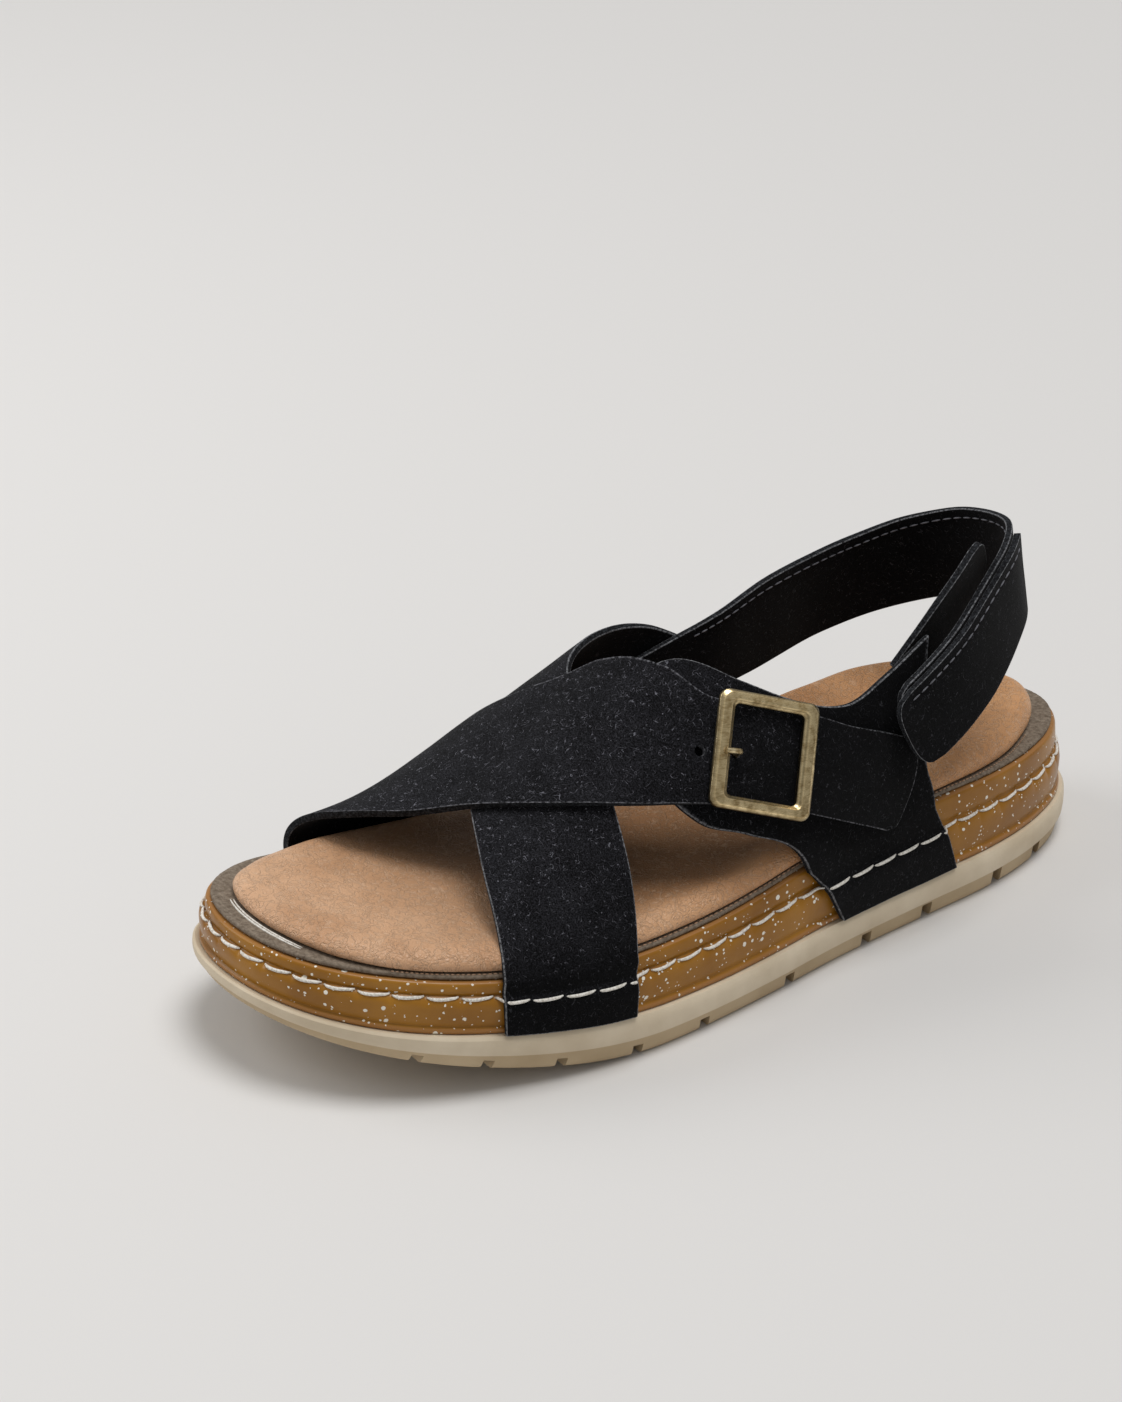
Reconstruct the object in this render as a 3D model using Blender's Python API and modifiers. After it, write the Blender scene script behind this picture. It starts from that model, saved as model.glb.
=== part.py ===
"""Cross strap sandal, left shoe, built at its real size in metres.

The toe points along -Y, the outer side of the foot is +X, and the floor is Z = 0.
A rubber outsole carries a moulded midsole, a felt-like rim board and a padded leather
footbed. Two wide straps cross over the forefoot, a quarter on the outer side takes the
buckled end, and a heel strap runs round the back to a hook-and-loop tab.
"""
from math import asin, atan, cos, pi, radians, sin, sqrt

import bmesh
import bpy
from mathutils import Matrix, Vector

# Driving sizes, in metres
LENGTH = 0.255
BALL_WIDTH = 0.0872
TOE_SPRING = 0.019
INSTEP = 0.071
OUTSOLE_HEIGHT = 0.0121
SOLE_HEIGHT = 0.0319
OUTSOLE_FLARE = 0.0012
MIDSOLE_STEP = 0.0031
BOARD_THICKNESS = 0.0012
BOARD_STEP = 0.0008
FOOTBED_HEIGHT = 0.0062
FOOTBED_MARGIN = 0.0085
LEATHER = 0.0018
SEAT_GAP = 0.0003
LUG_GROOVE_WIDTH = 0.0028
LUG_GROOVE_DEPTH = 0.0040
HEEL_STRAP_WIDTH = 0.0245
TAB_WIDTH = 0.0230
EAR_WIDTH = 0.0190
BUCKLE_WIDTH = 0.0262
BUCKLE_HEIGHT = 0.0284
BUCKLE_RAIL = 0.0036
BUCKLE_THICKNESS = 0.0024
BUCKLE_CORNER = 0.0030
BUCKLE_BAR = 0.0015
PRONG_DIAMETER = 0.0015
PRONG_HOLE = 0.0026

# Shares that belong to the shoe's form
SPRING_START = 0.36
SPRING_CURVE = 1.6
TOE_GROOVE_SHARE = 0.30
WALL_SHARE = 0.2
END_RAIL_SHARE = 0.78
STRAP_B_ROUND = 0.045
TAB_ROUND = 0.13
EAR_ROUND = 0.16
HEEL_STRAP_ROUND = 0.030
END_CURVE = 2.4
FRAME_BEVEL = 0.3
POST_INSET = 0.6
PRONG_BEND = 0.72
PRONG_OVERHANG = 0.6
MARGIN_TURN = 2.3

# Number of points round the sole and cells along and across the leather pieces
RING_POINTS = 88
STRAP_CELLS = 30
STRAP_B_CELLS = 38
STRAP_STRIPS = 6
QUARTER_CELLS = 20
QUARTER_STRIPS = 12
HEEL_STRAP_CELLS = 44
HEEL_STRAP_STRIPS = 4
TAB_CELLS = 16
EAR_CELLS = 10
HOLE_SIDES = 12
CORNER_STEPS = 5
SEAT_SAMPLES = 10
SEARCH_STEPS = 20
# How far the cells crowd toward a strap's ends, from 0 for even cells up to 1
END_CROWDING = 0.45
# Small steps along the outline, the last and a band over which a direction is measured,
# and along strap B for the buckle's lie
ANGLE_STEP = 0.01
LAST_STEP = 0.004
BAND_STEP = 0.01
BUCKLE_STEP = 0.06
# Blocks that cut the notches: their height, and half the step their tilt is measured over
GROOVE_BLOCK = 0.02
GROOVE_REACH = 0.01
# Angle past which an edge is drawn sharp on the sole, the brass frame and its pin
SOLE_SHARP = radians(38)
FRAME_SHARP = radians(30)
PIN_SHARP = radians(50)
WELD = 0.00001

# Sole outline: station from the toe, as a share of the length, with the half width and
# the shift of the middle line toward the outer side, as shares of the ball width.
OUTLINE = {
    "station": (0.0, 0.06, 0.165, 0.314, 0.49, 0.608, 0.7255, 0.8235, 0.902, 0.96, 1.0),
    "half": (0.86, 0.757, 0.64, 0.54, 0.4255, 0.391, 0.428, 0.508, 0.572, 0.600, 0.590),
    "centre": (-0.157, -0.113, -0.047, 0.02, 0.058, 0.0485, 0.013, -0.023, -0.0386, -0.028, -0.009),
}

# Heights of the outsole's and the midsole's upper edge above the sprung bottom, as
# shares of the two sizes that they follow.
EDGE_HEIGHTS = {
    "station": (0.0, 0.05, 0.1, 0.15, 0.2, 0.27, 0.34, 0.45, 0.56, 0.74, 0.85, 1.0),
    "outsole": (0.447, 0.539, 0.638, 0.744, 0.838, 0.929, 0.977, 0.941, 0.975, 1.0, 1.0, 1.0),
    "midsole": (0.533, 0.594, 0.652, 0.692, 0.727, 0.782, 0.825, 0.852, 0.937, 1.012, 1.0, 0.984),
}

# Side profile of the outsole: share of its height and share of its flare.
OUTSOLE_SIDE = {
    "height": (0.0, 0.10, 0.40, 0.46, 0.93, 1.0),
    "flare": (-2.0, -0.7, 0.55, 1.0, 1.0, 0.5),
}

# Side profile of the midsole: share of its wall height and share of its step inward.
# A lip at the base, a full lower band, the stitched groove and the set-in upper band.
MIDSOLE_SIDE = {
    "height": (0.0, 0.07, 0.11, 0.22, 0.45, 0.58, 0.645, 0.70, 0.88, 1.0),
    "inset": (0.18, 0.18, 0.38, 0.30, 0.22, 0.36, 0.80, 0.74, 0.82, 1.0),
}

# Inner face of the leather where it laps the midsole wall, in the same shares.
LAP_SIDE = {
    "height": (0.0, 0.50, 0.66, 0.80, 1.0),
    "inset": (0.06, 0.08, 0.52, 0.62, 0.66),
}

# Footbed margin inside the midsole edge, outer and inner side of the foot, as shares
# of the margin at the toe.
FOOTBED_EDGE = {
    "station": (0.0, 0.05, 0.10, 0.16, 0.30, 0.40, 0.72, 0.85, 0.93, 1.0),
    "outer": (0.86, 0.50, 0.36, 0.36, 0.34, 0.22, 0.17, 0.34, 0.66, 0.88),
    "inner": (0.98, 1.02, 0.88, 0.45, 0.26, 0.24, 0.26, 0.42, 0.74, 0.88),
}

# Crown of the footbed above its base, as shares of the footbed height: the rolled edge
# on each side and the bed along the middle line.
FOOTBED_CROWN = {
    "station": (0.0, 0.12, 0.30, 0.48, 0.62, 0.78, 0.92, 1.0),
    "outer": (0.72, 0.78, 0.80, 0.86, 1.0, 1.10, 1.15, 1.15),
    "inner": (0.72, 0.80, 0.95, 1.45, 1.70, 1.45, 1.20, 1.15),
    "middle": (0.70, 0.76, 0.66, 0.70, 0.62, 0.42, 0.40, 0.55),
}

# Rolled edge of the footbed: share of the crown there and the inset in metres. Inside it
# the bed is drawn toward the middle line, and falls from the edge to the bed's height.
FOOTBED_ROLL = {
    "height": (0.0, 0.30, 0.62, 0.86, 1.0),
    "inset": (0.0006, -0.0003, 0.0004, 0.0016, 0.0040),
}
FOOTBED_BED = {
    "draw": (0.20, 0.45, 0.75),
    "fall": (0.22, 0.65, 0.95),
}
BED_START = 0.17
BED_END = 0.84

# Last above the midsole edge: crest height as a share of the instep, the crest's shift
# toward the inner side as a share of the ball width, and how full the arch is: 2 is an
# ellipse and more is squarer.
LAST = {
    "station": (0.05, 0.20, 0.35, 0.50, 0.65, 0.85),
    "crest": (0.16, 0.25, 0.50, 0.785, 0.985, 1.20),
    "shift": (0.07, 0.10, 0.155, 0.15, 0.07, 0.0),
    "fullness": (1.8, 1.9, 2.2, 2.4, 2.4, 2.4),
}

# Notches along the bottom edge, station from the toe.
LUG_STATIONS = (0.103, 0.166, 0.238, 0.322, 0.407, 0.523, 0.634, 0.721, 0.827, 0.900)

# Leather pieces are cut to outlines on the last. A station is a share of the length from
# the toe. A turn goes over the foot from 0 at the outer midsole edge to 1 at the inner
# one, and 0.2 beyond either end reaches down the wall to the outsole.
STRAP_A = {
    "row": (0.0, 0.10, 0.16, 0.28, 0.42, 0.56, 0.70, 0.82, 0.91, 1.0),
    "front_station": (0.189, 0.190, 0.200, 0.224, 0.258, 0.296, 0.343, 0.405, 0.470, 0.545),
    "front_turn": (-0.2, 0.0, 0.12, 0.28, 0.43, 0.57, 0.71, 0.84, 0.95, 1.2),
    "rear_station": (0.320, 0.326, 0.343, 0.364, 0.392, 0.421, 0.471, 0.560, 0.640, 0.735),
    "rear_turn": (-0.2, 0.0, 0.12, 0.267, 0.44, 0.56, 0.67, 0.80, 0.93, 1.2),
}
STRAP_B = {
    "row": (0.0, 0.09, 0.18, 0.27, 0.37, 0.47, 0.58, 0.68, 0.84, 0.96, 1.0),
    "front_station": (0.145, 0.145, 0.152, 0.172, 0.215, 0.258, 0.321, 0.400, 0.540, 0.650, 0.677),
    "front_turn": (1.2, 1.0, 0.85, 0.67, 0.53, 0.44, 0.325, 0.210, 0.070, 0.004, 0.012),
    "rear_station": (0.312, 0.314, 0.324, 0.345, 0.398, 0.446, 0.470, 0.492, 0.600, 0.683, 0.699),
    "rear_turn": (1.2, 1.0, 0.86, 0.71, 0.56, 0.49, 0.40, 0.285, 0.150, 0.085, 0.070),
}
QUARTER = {
    "row": (0.0, 0.12, 0.24, 0.40, 0.60, 0.80, 1.0),
    "front_station": (0.594, 0.565, 0.540, 0.481, 0.430, 0.408, 0.430),
    "front_turn": (-0.2, -0.06, 0.018, 0.081, 0.150, 0.270, 0.450),
    "rear_station": (0.757, 0.742, 0.727, 0.714, 0.712, 0.720, 0.728),
    "rear_turn": (-0.2, -0.09, 0.0, 0.040, 0.090, 0.145, 0.187),
}
QUARTER_TOP = {
    "row": (0.0, 0.15, 0.32, 0.50, 0.68, 0.85, 1.0),
    "station": (0.430, 0.480, 0.520, 0.565, 0.620, 0.672, 0.728),
    "turn": (0.450, 0.412, 0.292, 0.207, 0.160, 0.168, 0.187),
}

# Heel strap, middle line: across the ball width, station, height as a share of the
# instep, and the lean of its top toward the foot in degrees.
HEEL_STRAP = {
    "across": (-0.32, -0.352, -0.322, -0.227, -0.068, 0.098, 0.223, 0.303, 0.363, 0.393, 0.408),
    "station": (0.690, 0.765, 0.825, 0.872, 0.897, 0.892, 0.857, 0.812, 0.765, 0.718, 0.668),
    "height": (0.891, 0.921, 0.969, 1.039, 1.114, 1.157, 1.162, 1.092, 0.992, 0.899, 0.814),
    "lean": (6.0, 8.0, 10.0, 10.0, 6.0, 6.0, 10.0, 12.0, 12.0, 11.0, 10.0),
    "width": (1.10, 1.10, 1.09, 1.07, 1.03, 0.98, 0.96, 0.96, 0.96, 0.96, 0.96),
}

# Heel strap under the end of strap A, measured on the last: station and the turns of
# its lower and upper edge.
HEEL_STRAP_START = {
    "station": (0.53, 0.58, 0.625),
    "low_turn": (0.950, 0.945, 0.935),
    "high_turn": (0.825, 0.818, 0.812),
}

# Ear sewn inside the quarter's rear arm, in the columns of the heel strap's table.
EAR = {
    "across": (0.278, 0.273, 0.258, 0.236),
    "station": (0.736, 0.763, 0.793, 0.821),
    "height": (1.052, 1.137, 1.232, 1.315),
    "lean": (12.0, 14.0, 16.0, 16.0),
    "width": (1.0, 1.0, 1.0, 1.0),
}

# Lift of strap B off the last, as shares of the leather: it starts on the midsole wall,
# is bonded onto strap A where they cross and rides over the buckle's bar.
STRAP_B_LIFT = {
    "row": (0.0, 0.12, 0.30, 0.41, 0.48, 0.60, 0.69, 0.765, 0.87, 1.0),
    "lift": (0.0, 0.15, 0.70, 0.78, 1.22, 1.40, 1.95, 2.20, 1.80, 1.35),
}

# Colour, roughness and metal of each finish
RUBBER = ((0.50, 0.44, 0.34), 0.75, 0.0)
FOAM = ((0.33, 0.16, 0.035), 0.35, 0.0)
BOARD = ((0.30, 0.25, 0.20), 0.95, 0.0)
TAN_LEATHER = ((0.52, 0.28, 0.15), 0.6, 0.0)
BLACK_NUBUCK = ((0.012, 0.012, 0.015), 0.95, 0.0)
BRASS = ((0.40, 0.29, 0.13), 0.35, 1.0)

# Where the buckle sits along strap B, and where the heel strap's tab starts along it
BUCKLE_ROW = 0.762
BUCKLE_REACH = 0.15
TAB_START = 0.66
HEEL_STRAP_END = 0.980


def blend(table, column, share, key="station"):
    """Smooth value between the rows of a table, held level beyond its ends."""
    rows = table[key]
    values = table[column]
    share = min(max(share, rows[0]), rows[-1])
    last = len(rows) - 1
    index = max(k for k in range(last) if rows[k] <= share)
    step = rows[index + 1] - rows[index]

    def slope(k):
        low, high = max(k - 1, 0), min(k + 1, last)
        return (values[high] - values[low]) / (rows[high] - rows[low])

    t = (share - rows[index]) / step
    return (values[index] * (2 * t**3 - 3 * t**2 + 1) + values[index + 1] * (3 * t**2 - 2 * t**3)
            + step * slope(index) * (t**3 - 2 * t**2 + t)
            + step * slope(index + 1) * (t**3 - t**2))


def straight(table, column, share, key="height"):
    """Straight-line value between the rows of a table."""
    rows = table[key]
    values = table[column]
    share = min(max(share, rows[0]), rows[-1])
    index = max(k for k in range(len(rows) - 1) if rows[k] <= share)
    t = (share - rows[index]) / (rows[index + 1] - rows[index])
    return values[index] + t * (values[index + 1] - values[index])


def station_of(point):
    return point[1] / LENGTH + 0.5


def spring(station):
    """Height of the sprung toe above the floor."""
    return TOE_SPRING * max(0.0, (SPRING_START - station) / SPRING_START) ** SPRING_CURVE


def outsole_top(station):
    return spring(station) + OUTSOLE_HEIGHT * blend(EDGE_HEIGHTS, "outsole", station)


def midsole_top(station):
    return spring(station) + SOLE_HEIGHT * blend(EDGE_HEIGHTS, "midsole", station)


def footbed_base(station):
    return midsole_top(station) + SEAT_GAP + BOARD_THICKNESS + SEAT_GAP


def middle_point(station):
    """Point of the sole's middle line."""
    return Vector((blend(OUTLINE, "centre", station) * BALL_WIDTH, (station - 0.5) * LENGTH))


def outline_point(angle):
    """Point of the sole's outline: angle 0 is the toe, a quarter turn the outer side."""
    station = (1 - cos(angle)) / 2
    half = blend(OUTLINE, "half", station) * BALL_WIDTH
    return middle_point(station) + Vector((half * sin(angle), 0))


def inset_point(angle, inset):
    """Point of the outline moved square inward."""
    point = outline_point(angle)
    along = outline_point(angle + ANGLE_STEP) - outline_point(angle - ANGLE_STEP)
    along.normalize()
    return point - inset * Vector((along.y, -along.x))


def ring_angles():
    return [2 * pi * k / RING_POINTS for k in range(RING_POINTS)]


def ring(inset, height):
    """Closed ring round the shoe, with its inset and height given by the station."""
    points = []
    for angle in ring_angles():
        flat = inset_point(angle, inset(angle))
        points.append(Vector((flat.x, flat.y, height(station_of(flat), angle))))
    return points


def add_object(name, mesh, collection):
    thing = bpy.data.objects.new(name, mesh)
    collection.objects.link(thing)
    return thing


def loft(name, rings, collection):
    """Closed solid through rings of equal count, bottom ring first."""
    shape = bmesh.new()
    rows = [[shape.verts.new(point) for point in points] for points in rings]
    count = len(rows[0])
    for low, high in zip(rows, rows[1:]):
        for k in range(count):
            after = (k + 1) % count
            shape.faces.new((low[k], low[after], high[after], high[k]))
    for row, facing_up in ((rows[0], False), (rows[-1], True)):
        for k in range(count // 2):
            corners = []
            for index in (k, k + 1, count - k - 1, (count - k) % count):
                if row[index] not in corners:
                    corners.append(row[index])
            shape.faces.new(corners if facing_up else corners[::-1])
    mesh = bpy.data.meshes.new(name)
    shape.to_mesh(mesh)
    shape.free()
    mesh.shade_smooth()
    mesh.set_sharp_from_angle(angle=SOLE_SHARP)
    return add_object(name, mesh, collection)


def wrap(station, turn):
    """Point of the leather's inner face on the last, or down the midsole wall."""
    angle = 2 * asin(sqrt(station))
    if turn < 0 or turn > 1:
        side = 1 if turn < 0 else -1
        depth = (-turn if turn < 0 else turn - 1) / WALL_SHARE
        inset = straight(LAP_SIDE, "inset", 1 - depth) * MIDSOLE_STEP
        flat = inset_point(side * angle, inset)
        low = outsole_top(station_of(flat)) + SEAT_GAP
        return Vector((flat.x, flat.y, low + (midsole_top(station_of(flat)) - low) * (1 - depth)))
    inset = LAP_SIDE["inset"][-1] * MIDSOLE_STEP
    outer = inset_point(angle, inset)
    inner = inset_point(-angle, inset)
    swing = cos(pi * turn)
    power = 2 / blend(LAST, "fullness", station)
    reach = abs(swing) ** power * (1 if swing > 0 else -1)
    rise = abs(sin(pi * turn)) ** power
    flat = (outer + inner) / 2 + (outer - inner) / 2 * reach
    base_out = midsole_top(station_of(outer))
    base_in = midsole_top(station_of(inner))
    base = (base_out + base_in) / 2 + (base_out - base_in) / 2 * reach
    crest = INSTEP * blend(LAST, "crest", station)
    shift = BALL_WIDTH * blend(LAST, "shift", station)
    return Vector((flat.x - shift * rise, flat.y, base + crest * rise))


def wrap_normal(station, turn):
    high = min(turn + LAST_STEP, 1 + WALL_SHARE)
    low = max(turn - LAST_STEP, -WALL_SHARE)
    around = wrap(station, high) - wrap(station, low)
    along = wrap(station + LAST_STEP, turn) - wrap(station - LAST_STEP, turn)
    return along.cross(around).normalized()


def wrap_lifted(station, turn, lift):
    return wrap(station, turn) + lift * wrap_normal(station, turn)


def rounded(row, strip, share):
    """Row pulled back near the edges, so that a strap's end is round."""
    return row * (1 - share * (1 - (1 - abs(2 * strip - 1) ** END_CURVE) ** (1 / END_CURVE)))


def sheet(name, place, cells, strips, flip, collection):
    """Open leather sheet: a grid laid in place by row and strip, both from 0 to 1."""
    shape = bmesh.new()
    bmesh.ops.create_grid(shape, x_segments=cells, y_segments=strips, size=0.5)
    for vertex in shape.verts:
        row = vertex.co.x + 0.5
        row -= END_CROWDING * sin(2 * pi * row) / (2 * pi)
        vertex.co = place(row, vertex.co.y + 0.5)
    if flip:
        bmesh.ops.reverse_faces(shape, faces=shape.faces[:])
    mesh = bpy.data.meshes.new(name)
    shape.to_mesh(mesh)
    shape.free()
    return add_object(name, mesh, collection)


def thicken(thing, thickness):
    wall = thing.modifiers.new("leather", "SOLIDIFY")
    wall.thickness = thickness
    wall.offset = 1.0
    wall.use_rim = True
    thing.data.shade_smooth()
    return wall


def cut_pattern(table, top=None, lift=None, end_round=0.0):
    """Function that lays a piece cut between its front and rear edge on the last."""
    def place(row, strip):
        row = rounded(row, strip, end_round)
        spot = []
        for axis in ("station", "turn"):
            front = blend(table, "front_" + axis, row, "row")
            rear = blend(table, "rear_" + axis, row, "row")
            value = front + (rear - front) * strip
            if top:
                straight_top = top[axis][0] + (top[axis][-1] - top[axis][0]) * strip
                value += row**2 * (blend(top, axis, strip, "row") - straight_top)
            spot.append(value)
        return wrap_lifted(spot[0], spot[1], lift(row) if lift else 0.0)
    return place


def strap_b_lift(row):
    return LEATHER * blend(STRAP_B_LIFT, "lift", row, "row")


def free_edges(table, width):
    """Lower and upper edge points of a band that stands free round the heel."""
    middle = []
    for across, station, height in zip(table["across"], table["station"], table["height"]):
        middle.append(Vector((across * BALL_WIDTH, (station - 0.5) * LENGTH, height * INSTEP)))
    edges = []
    for k, point in enumerate(middle):
        along = middle[min(k + 1, len(middle) - 1)] - middle[max(k - 1, 0)]
        along.normalize()
        up = Vector((0, 0, 1))
        up = (up - up.dot(along) * along).normalized()
        up = Matrix.Rotation(radians(table["lean"][k]), 3, along) @ up
        half = table["width"][k] * width / 2
        edges.append((point - up * half, point + up * half))
    return edges


def band_place(edges, lift, start=0.0, end=1.0, grow=0.0, end_round=0.0):
    """Function that lays a band through pairs of edge points, at a lift outward."""
    count = len(edges) - 1

    def edge_point(share, side):
        spot = min(max(share, 0.0), 1.0) * count
        k = min(int(spot), count - 1)
        t = spot - k
        a, b, c, d = (edges[min(max(k + j, 0), count)][side] for j in (-1, 0, 1, 2))
        return 0.5 * (2 * b + (c - a) * t + (2 * a - 5 * b + 4 * c - d) * t**2
                      + (3 * b - a - 3 * c + d) * t**3)

    def place(row, strip):
        row = start + (end - start) * rounded(row, strip, end_round)
        low, high = edge_point(row, 0), edge_point(row, 1)
        up = (high - low).normalized()
        along = edge_point(row + BAND_STEP, 0) + edge_point(row + BAND_STEP, 1)
        along -= edge_point(row - BAND_STEP, 0) + edge_point(row - BAND_STEP, 1)
        out = up.cross(along.normalized())
        point = low + (high - low) * strip + (strip - 0.5) * 2 * grow * up
        return point + lift * out
    return place


def make_outsole(collection, cutters):
    rings = []
    for height, flare in zip(OUTSOLE_SIDE["height"], OUTSOLE_SIDE["flare"]):
        rings.append(ring(
            lambda angle, flare=flare: -flare * OUTSOLE_FLARE,
            lambda station, angle, height=height: (
                spring(station) + height * (outsole_top(station) - spring(station)))))
    outsole = loft("outsole", rings, collection)

    shape = bmesh.new()
    for station in LUG_STATIONS:
        depth = LUG_GROOVE_DEPTH * (TOE_GROOVE_SHARE + (1 - TOE_GROOVE_SHARE) * station)
        centre = Vector((0, (station - 0.5) * LENGTH, spring(station) - GROOVE_BLOCK / 2 + depth))
        slope = (spring(station + GROOVE_REACH) - spring(station - GROOVE_REACH)) / 2
        place = Matrix.Translation(centre) @ Matrix.Rotation(atan(slope / GROOVE_REACH / LENGTH), 4, "X")
        size = Matrix.Diagonal((2 * BALL_WIDTH, LUG_GROOVE_WIDTH, GROOVE_BLOCK, 1))
        bmesh.ops.create_cube(shape, size=1.0, matrix=place @ size)
    mesh = bpy.data.meshes.new("lug_grooves")
    shape.to_mesh(mesh)
    shape.free()
    grooves = add_object("lug_grooves", mesh, cutters)
    cut(outsole, grooves, "DIFFERENCE")
    return outsole


def cut(thing, tool, operation):
    step = thing.modifiers.new(operation.lower(), "BOOLEAN")
    step.operation = operation
    step.object = tool
    tool.hide_render = True
    tool.display_type = "WIRE"


def make_midsole(collection):
    rings = []
    for height, inset in zip(MIDSOLE_SIDE["height"], MIDSOLE_SIDE["inset"]):
        rings.append(ring(
            lambda angle, inset=inset: inset * MIDSOLE_STEP,
            lambda station, angle, height=height: (
                outsole_top(station) + SEAT_GAP
                + height * (midsole_top(station) - outsole_top(station) - SEAT_GAP))))
    return loft("midsole", rings, collection)


def make_rim_board(collection):
    edge = MIDSOLE_STEP + BOARD_STEP
    rings = []
    for share in (0.0, 1.0):
        rings.append(ring(
            lambda angle: edge,
            lambda station, angle, share=share: (
                midsole_top(station) + SEAT_GAP + share * BOARD_THICKNESS)))
    return loft("rim_board", rings, collection)


def footbed_margin(angle):
    station = (1 - cos(angle)) / 2
    outer = blend(FOOTBED_EDGE, "outer", station)
    inner = blend(FOOTBED_EDGE, "inner", station)
    weight = (1 + min(1.0, max(-1.0, MARGIN_TURN * sin(angle)))) / 2
    return MIDSOLE_STEP + FOOTBED_MARGIN * (inner + (outer - inner) * weight)


def footbed_crown(station, angle, toward_middle):
    """Height of the footbed above its base, from its rolled edge to the middle line."""
    weight = (1 + sin(angle)) / 2
    weight = weight * weight * (3 - 2 * weight)
    outer = blend(FOOTBED_CROWN, "outer", station)
    inner = blend(FOOTBED_CROWN, "inner", station)
    edge = inner + (outer - inner) * weight
    middle = blend(FOOTBED_CROWN, "middle", station)
    return FOOTBED_HEIGHT * (edge + (middle - edge) * toward_middle)


def make_footbed(collection):
    """Padded bed: a rolled edge, then rings drawn in toward the middle line."""
    rings = []
    for share, inset in zip(FOOTBED_ROLL["height"], FOOTBED_ROLL["inset"]):
        rings.append(ring(
            lambda angle, inset=inset: footbed_margin(angle) + inset,
            lambda station, angle, share=share: (
                footbed_base(station) + share * footbed_crown(station, angle, 0.0))))
    edge = rings[-1]
    for draw, fall in zip(FOOTBED_BED["draw"], FOOTBED_BED["fall"]):
        points = []
        for angle, point in zip(ring_angles(), edge):
            station = min(max(station_of(point), BED_START), BED_END)
            flat = point.xy.lerp(middle_point(station), draw)
            spot = station_of(flat)
            points.append(Vector((flat.x, flat.y,
                                  footbed_base(spot) + footbed_crown(spot, angle, fall))))
        rings.append(points)
    return loft("footbed", rings, collection)


def make_cross_straps(collection, cutters):
    """Strap A and strap B in one piece, bonded where B crosses over A."""
    straps = sheet("cross_straps", cut_pattern(STRAP_A), STRAP_CELLS, STRAP_STRIPS, True, collection)
    thicken(straps, LEATHER)
    over = sheet("strap_b", place_strap_b, STRAP_B_CELLS, STRAP_STRIPS, False, cutters)
    thicken(over, LEATHER)
    cut(straps, over, "UNION")

    frame = buckle_frame_matrix()
    shape = bmesh.new()
    for across_frame in (prong_hole_x(), -BUCKLE_WIDTH / 2 - PRONG_HOLE):
        place = frame @ Matrix.Translation((across_frame, 0, 0))
        bmesh.ops.create_cone(shape, cap_ends=True, segments=HOLE_SIDES, radius1=PRONG_HOLE / 2,
                              radius2=PRONG_HOLE / 2, depth=6 * LEATHER, matrix=place)
    mesh = bpy.data.meshes.new("strap_holes")
    shape.to_mesh(mesh)
    shape.free()
    cut(straps, add_object("strap_holes", mesh, cutters), "DIFFERENCE")
    return straps


def place_strap_b(row, strip):
    return cut_pattern(STRAP_B, lift=strap_b_lift, end_round=STRAP_B_ROUND)(row, strip)


def buckle_frame_matrix():
    """Frame's own axes: X toward the strap's tip, Y across the strap, Z outward."""
    centre = place_strap_b(BUCKLE_ROW, 0.5)
    along = place_strap_b(BUCKLE_ROW + BUCKLE_STEP, 0.5) - place_strap_b(BUCKLE_ROW - BUCKLE_STEP, 0.5)
    across = place_strap_b(BUCKLE_ROW, 1.0) - place_strap_b(BUCKLE_ROW, 0.0)
    along.normalize()
    across = (across - across.dot(along) * along).normalized()
    out = along.cross(across)
    turn = Matrix((along, across, out)).transposed().to_4x4()
    return Matrix.Translation(centre) @ turn


def strap_spot(frame, along, strip):
    """Point of strap B's inner face, in the frame's axes, at a distance along the frame."""
    back = frame.inverted()
    low, high = BUCKLE_ROW - BUCKLE_REACH, BUCKLE_ROW + BUCKLE_REACH
    for _ in range(SEARCH_STEPS):
        middle = (low + high) / 2
        spot = back @ place_strap_b(middle, strip)
        if spot.x < along:
            low = middle
        else:
            high = middle
    return spot


def prong_hole_x():
    return -(BUCKLE_WIDTH / 2 - BUCKLE_RAIL - PRONG_HOLE)


def buckle_seat(frame):
    """Height of the frame's underside above the strap's inner face at its middle."""
    highest = 0.0
    for k in range(SEAT_SAMPLES + 1):
        along = BUCKLE_WIDTH * (k / SEAT_SAMPLES - 0.5)
        for strip in range(SEAT_SAMPLES + 1):
            highest = max(highest, strap_spot(frame, along, strip / SEAT_SAMPLES).z)
    return highest + LEATHER + SEAT_GAP


def rounded_rectangle(width, height, corner):
    points = []
    for k in range(4):
        centre_x = (width / 2 - corner) * (1 if k in (0, 3) else -1)
        centre_y = (height / 2 - corner) * (1 if k in (0, 1) else -1)
        for step in range(CORNER_STEPS):
            angle = pi / 2 * (k + step / (CORNER_STEPS - 1))
            points.append((centre_x + corner * cos(angle), centre_y + corner * sin(angle)))
    return points


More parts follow.
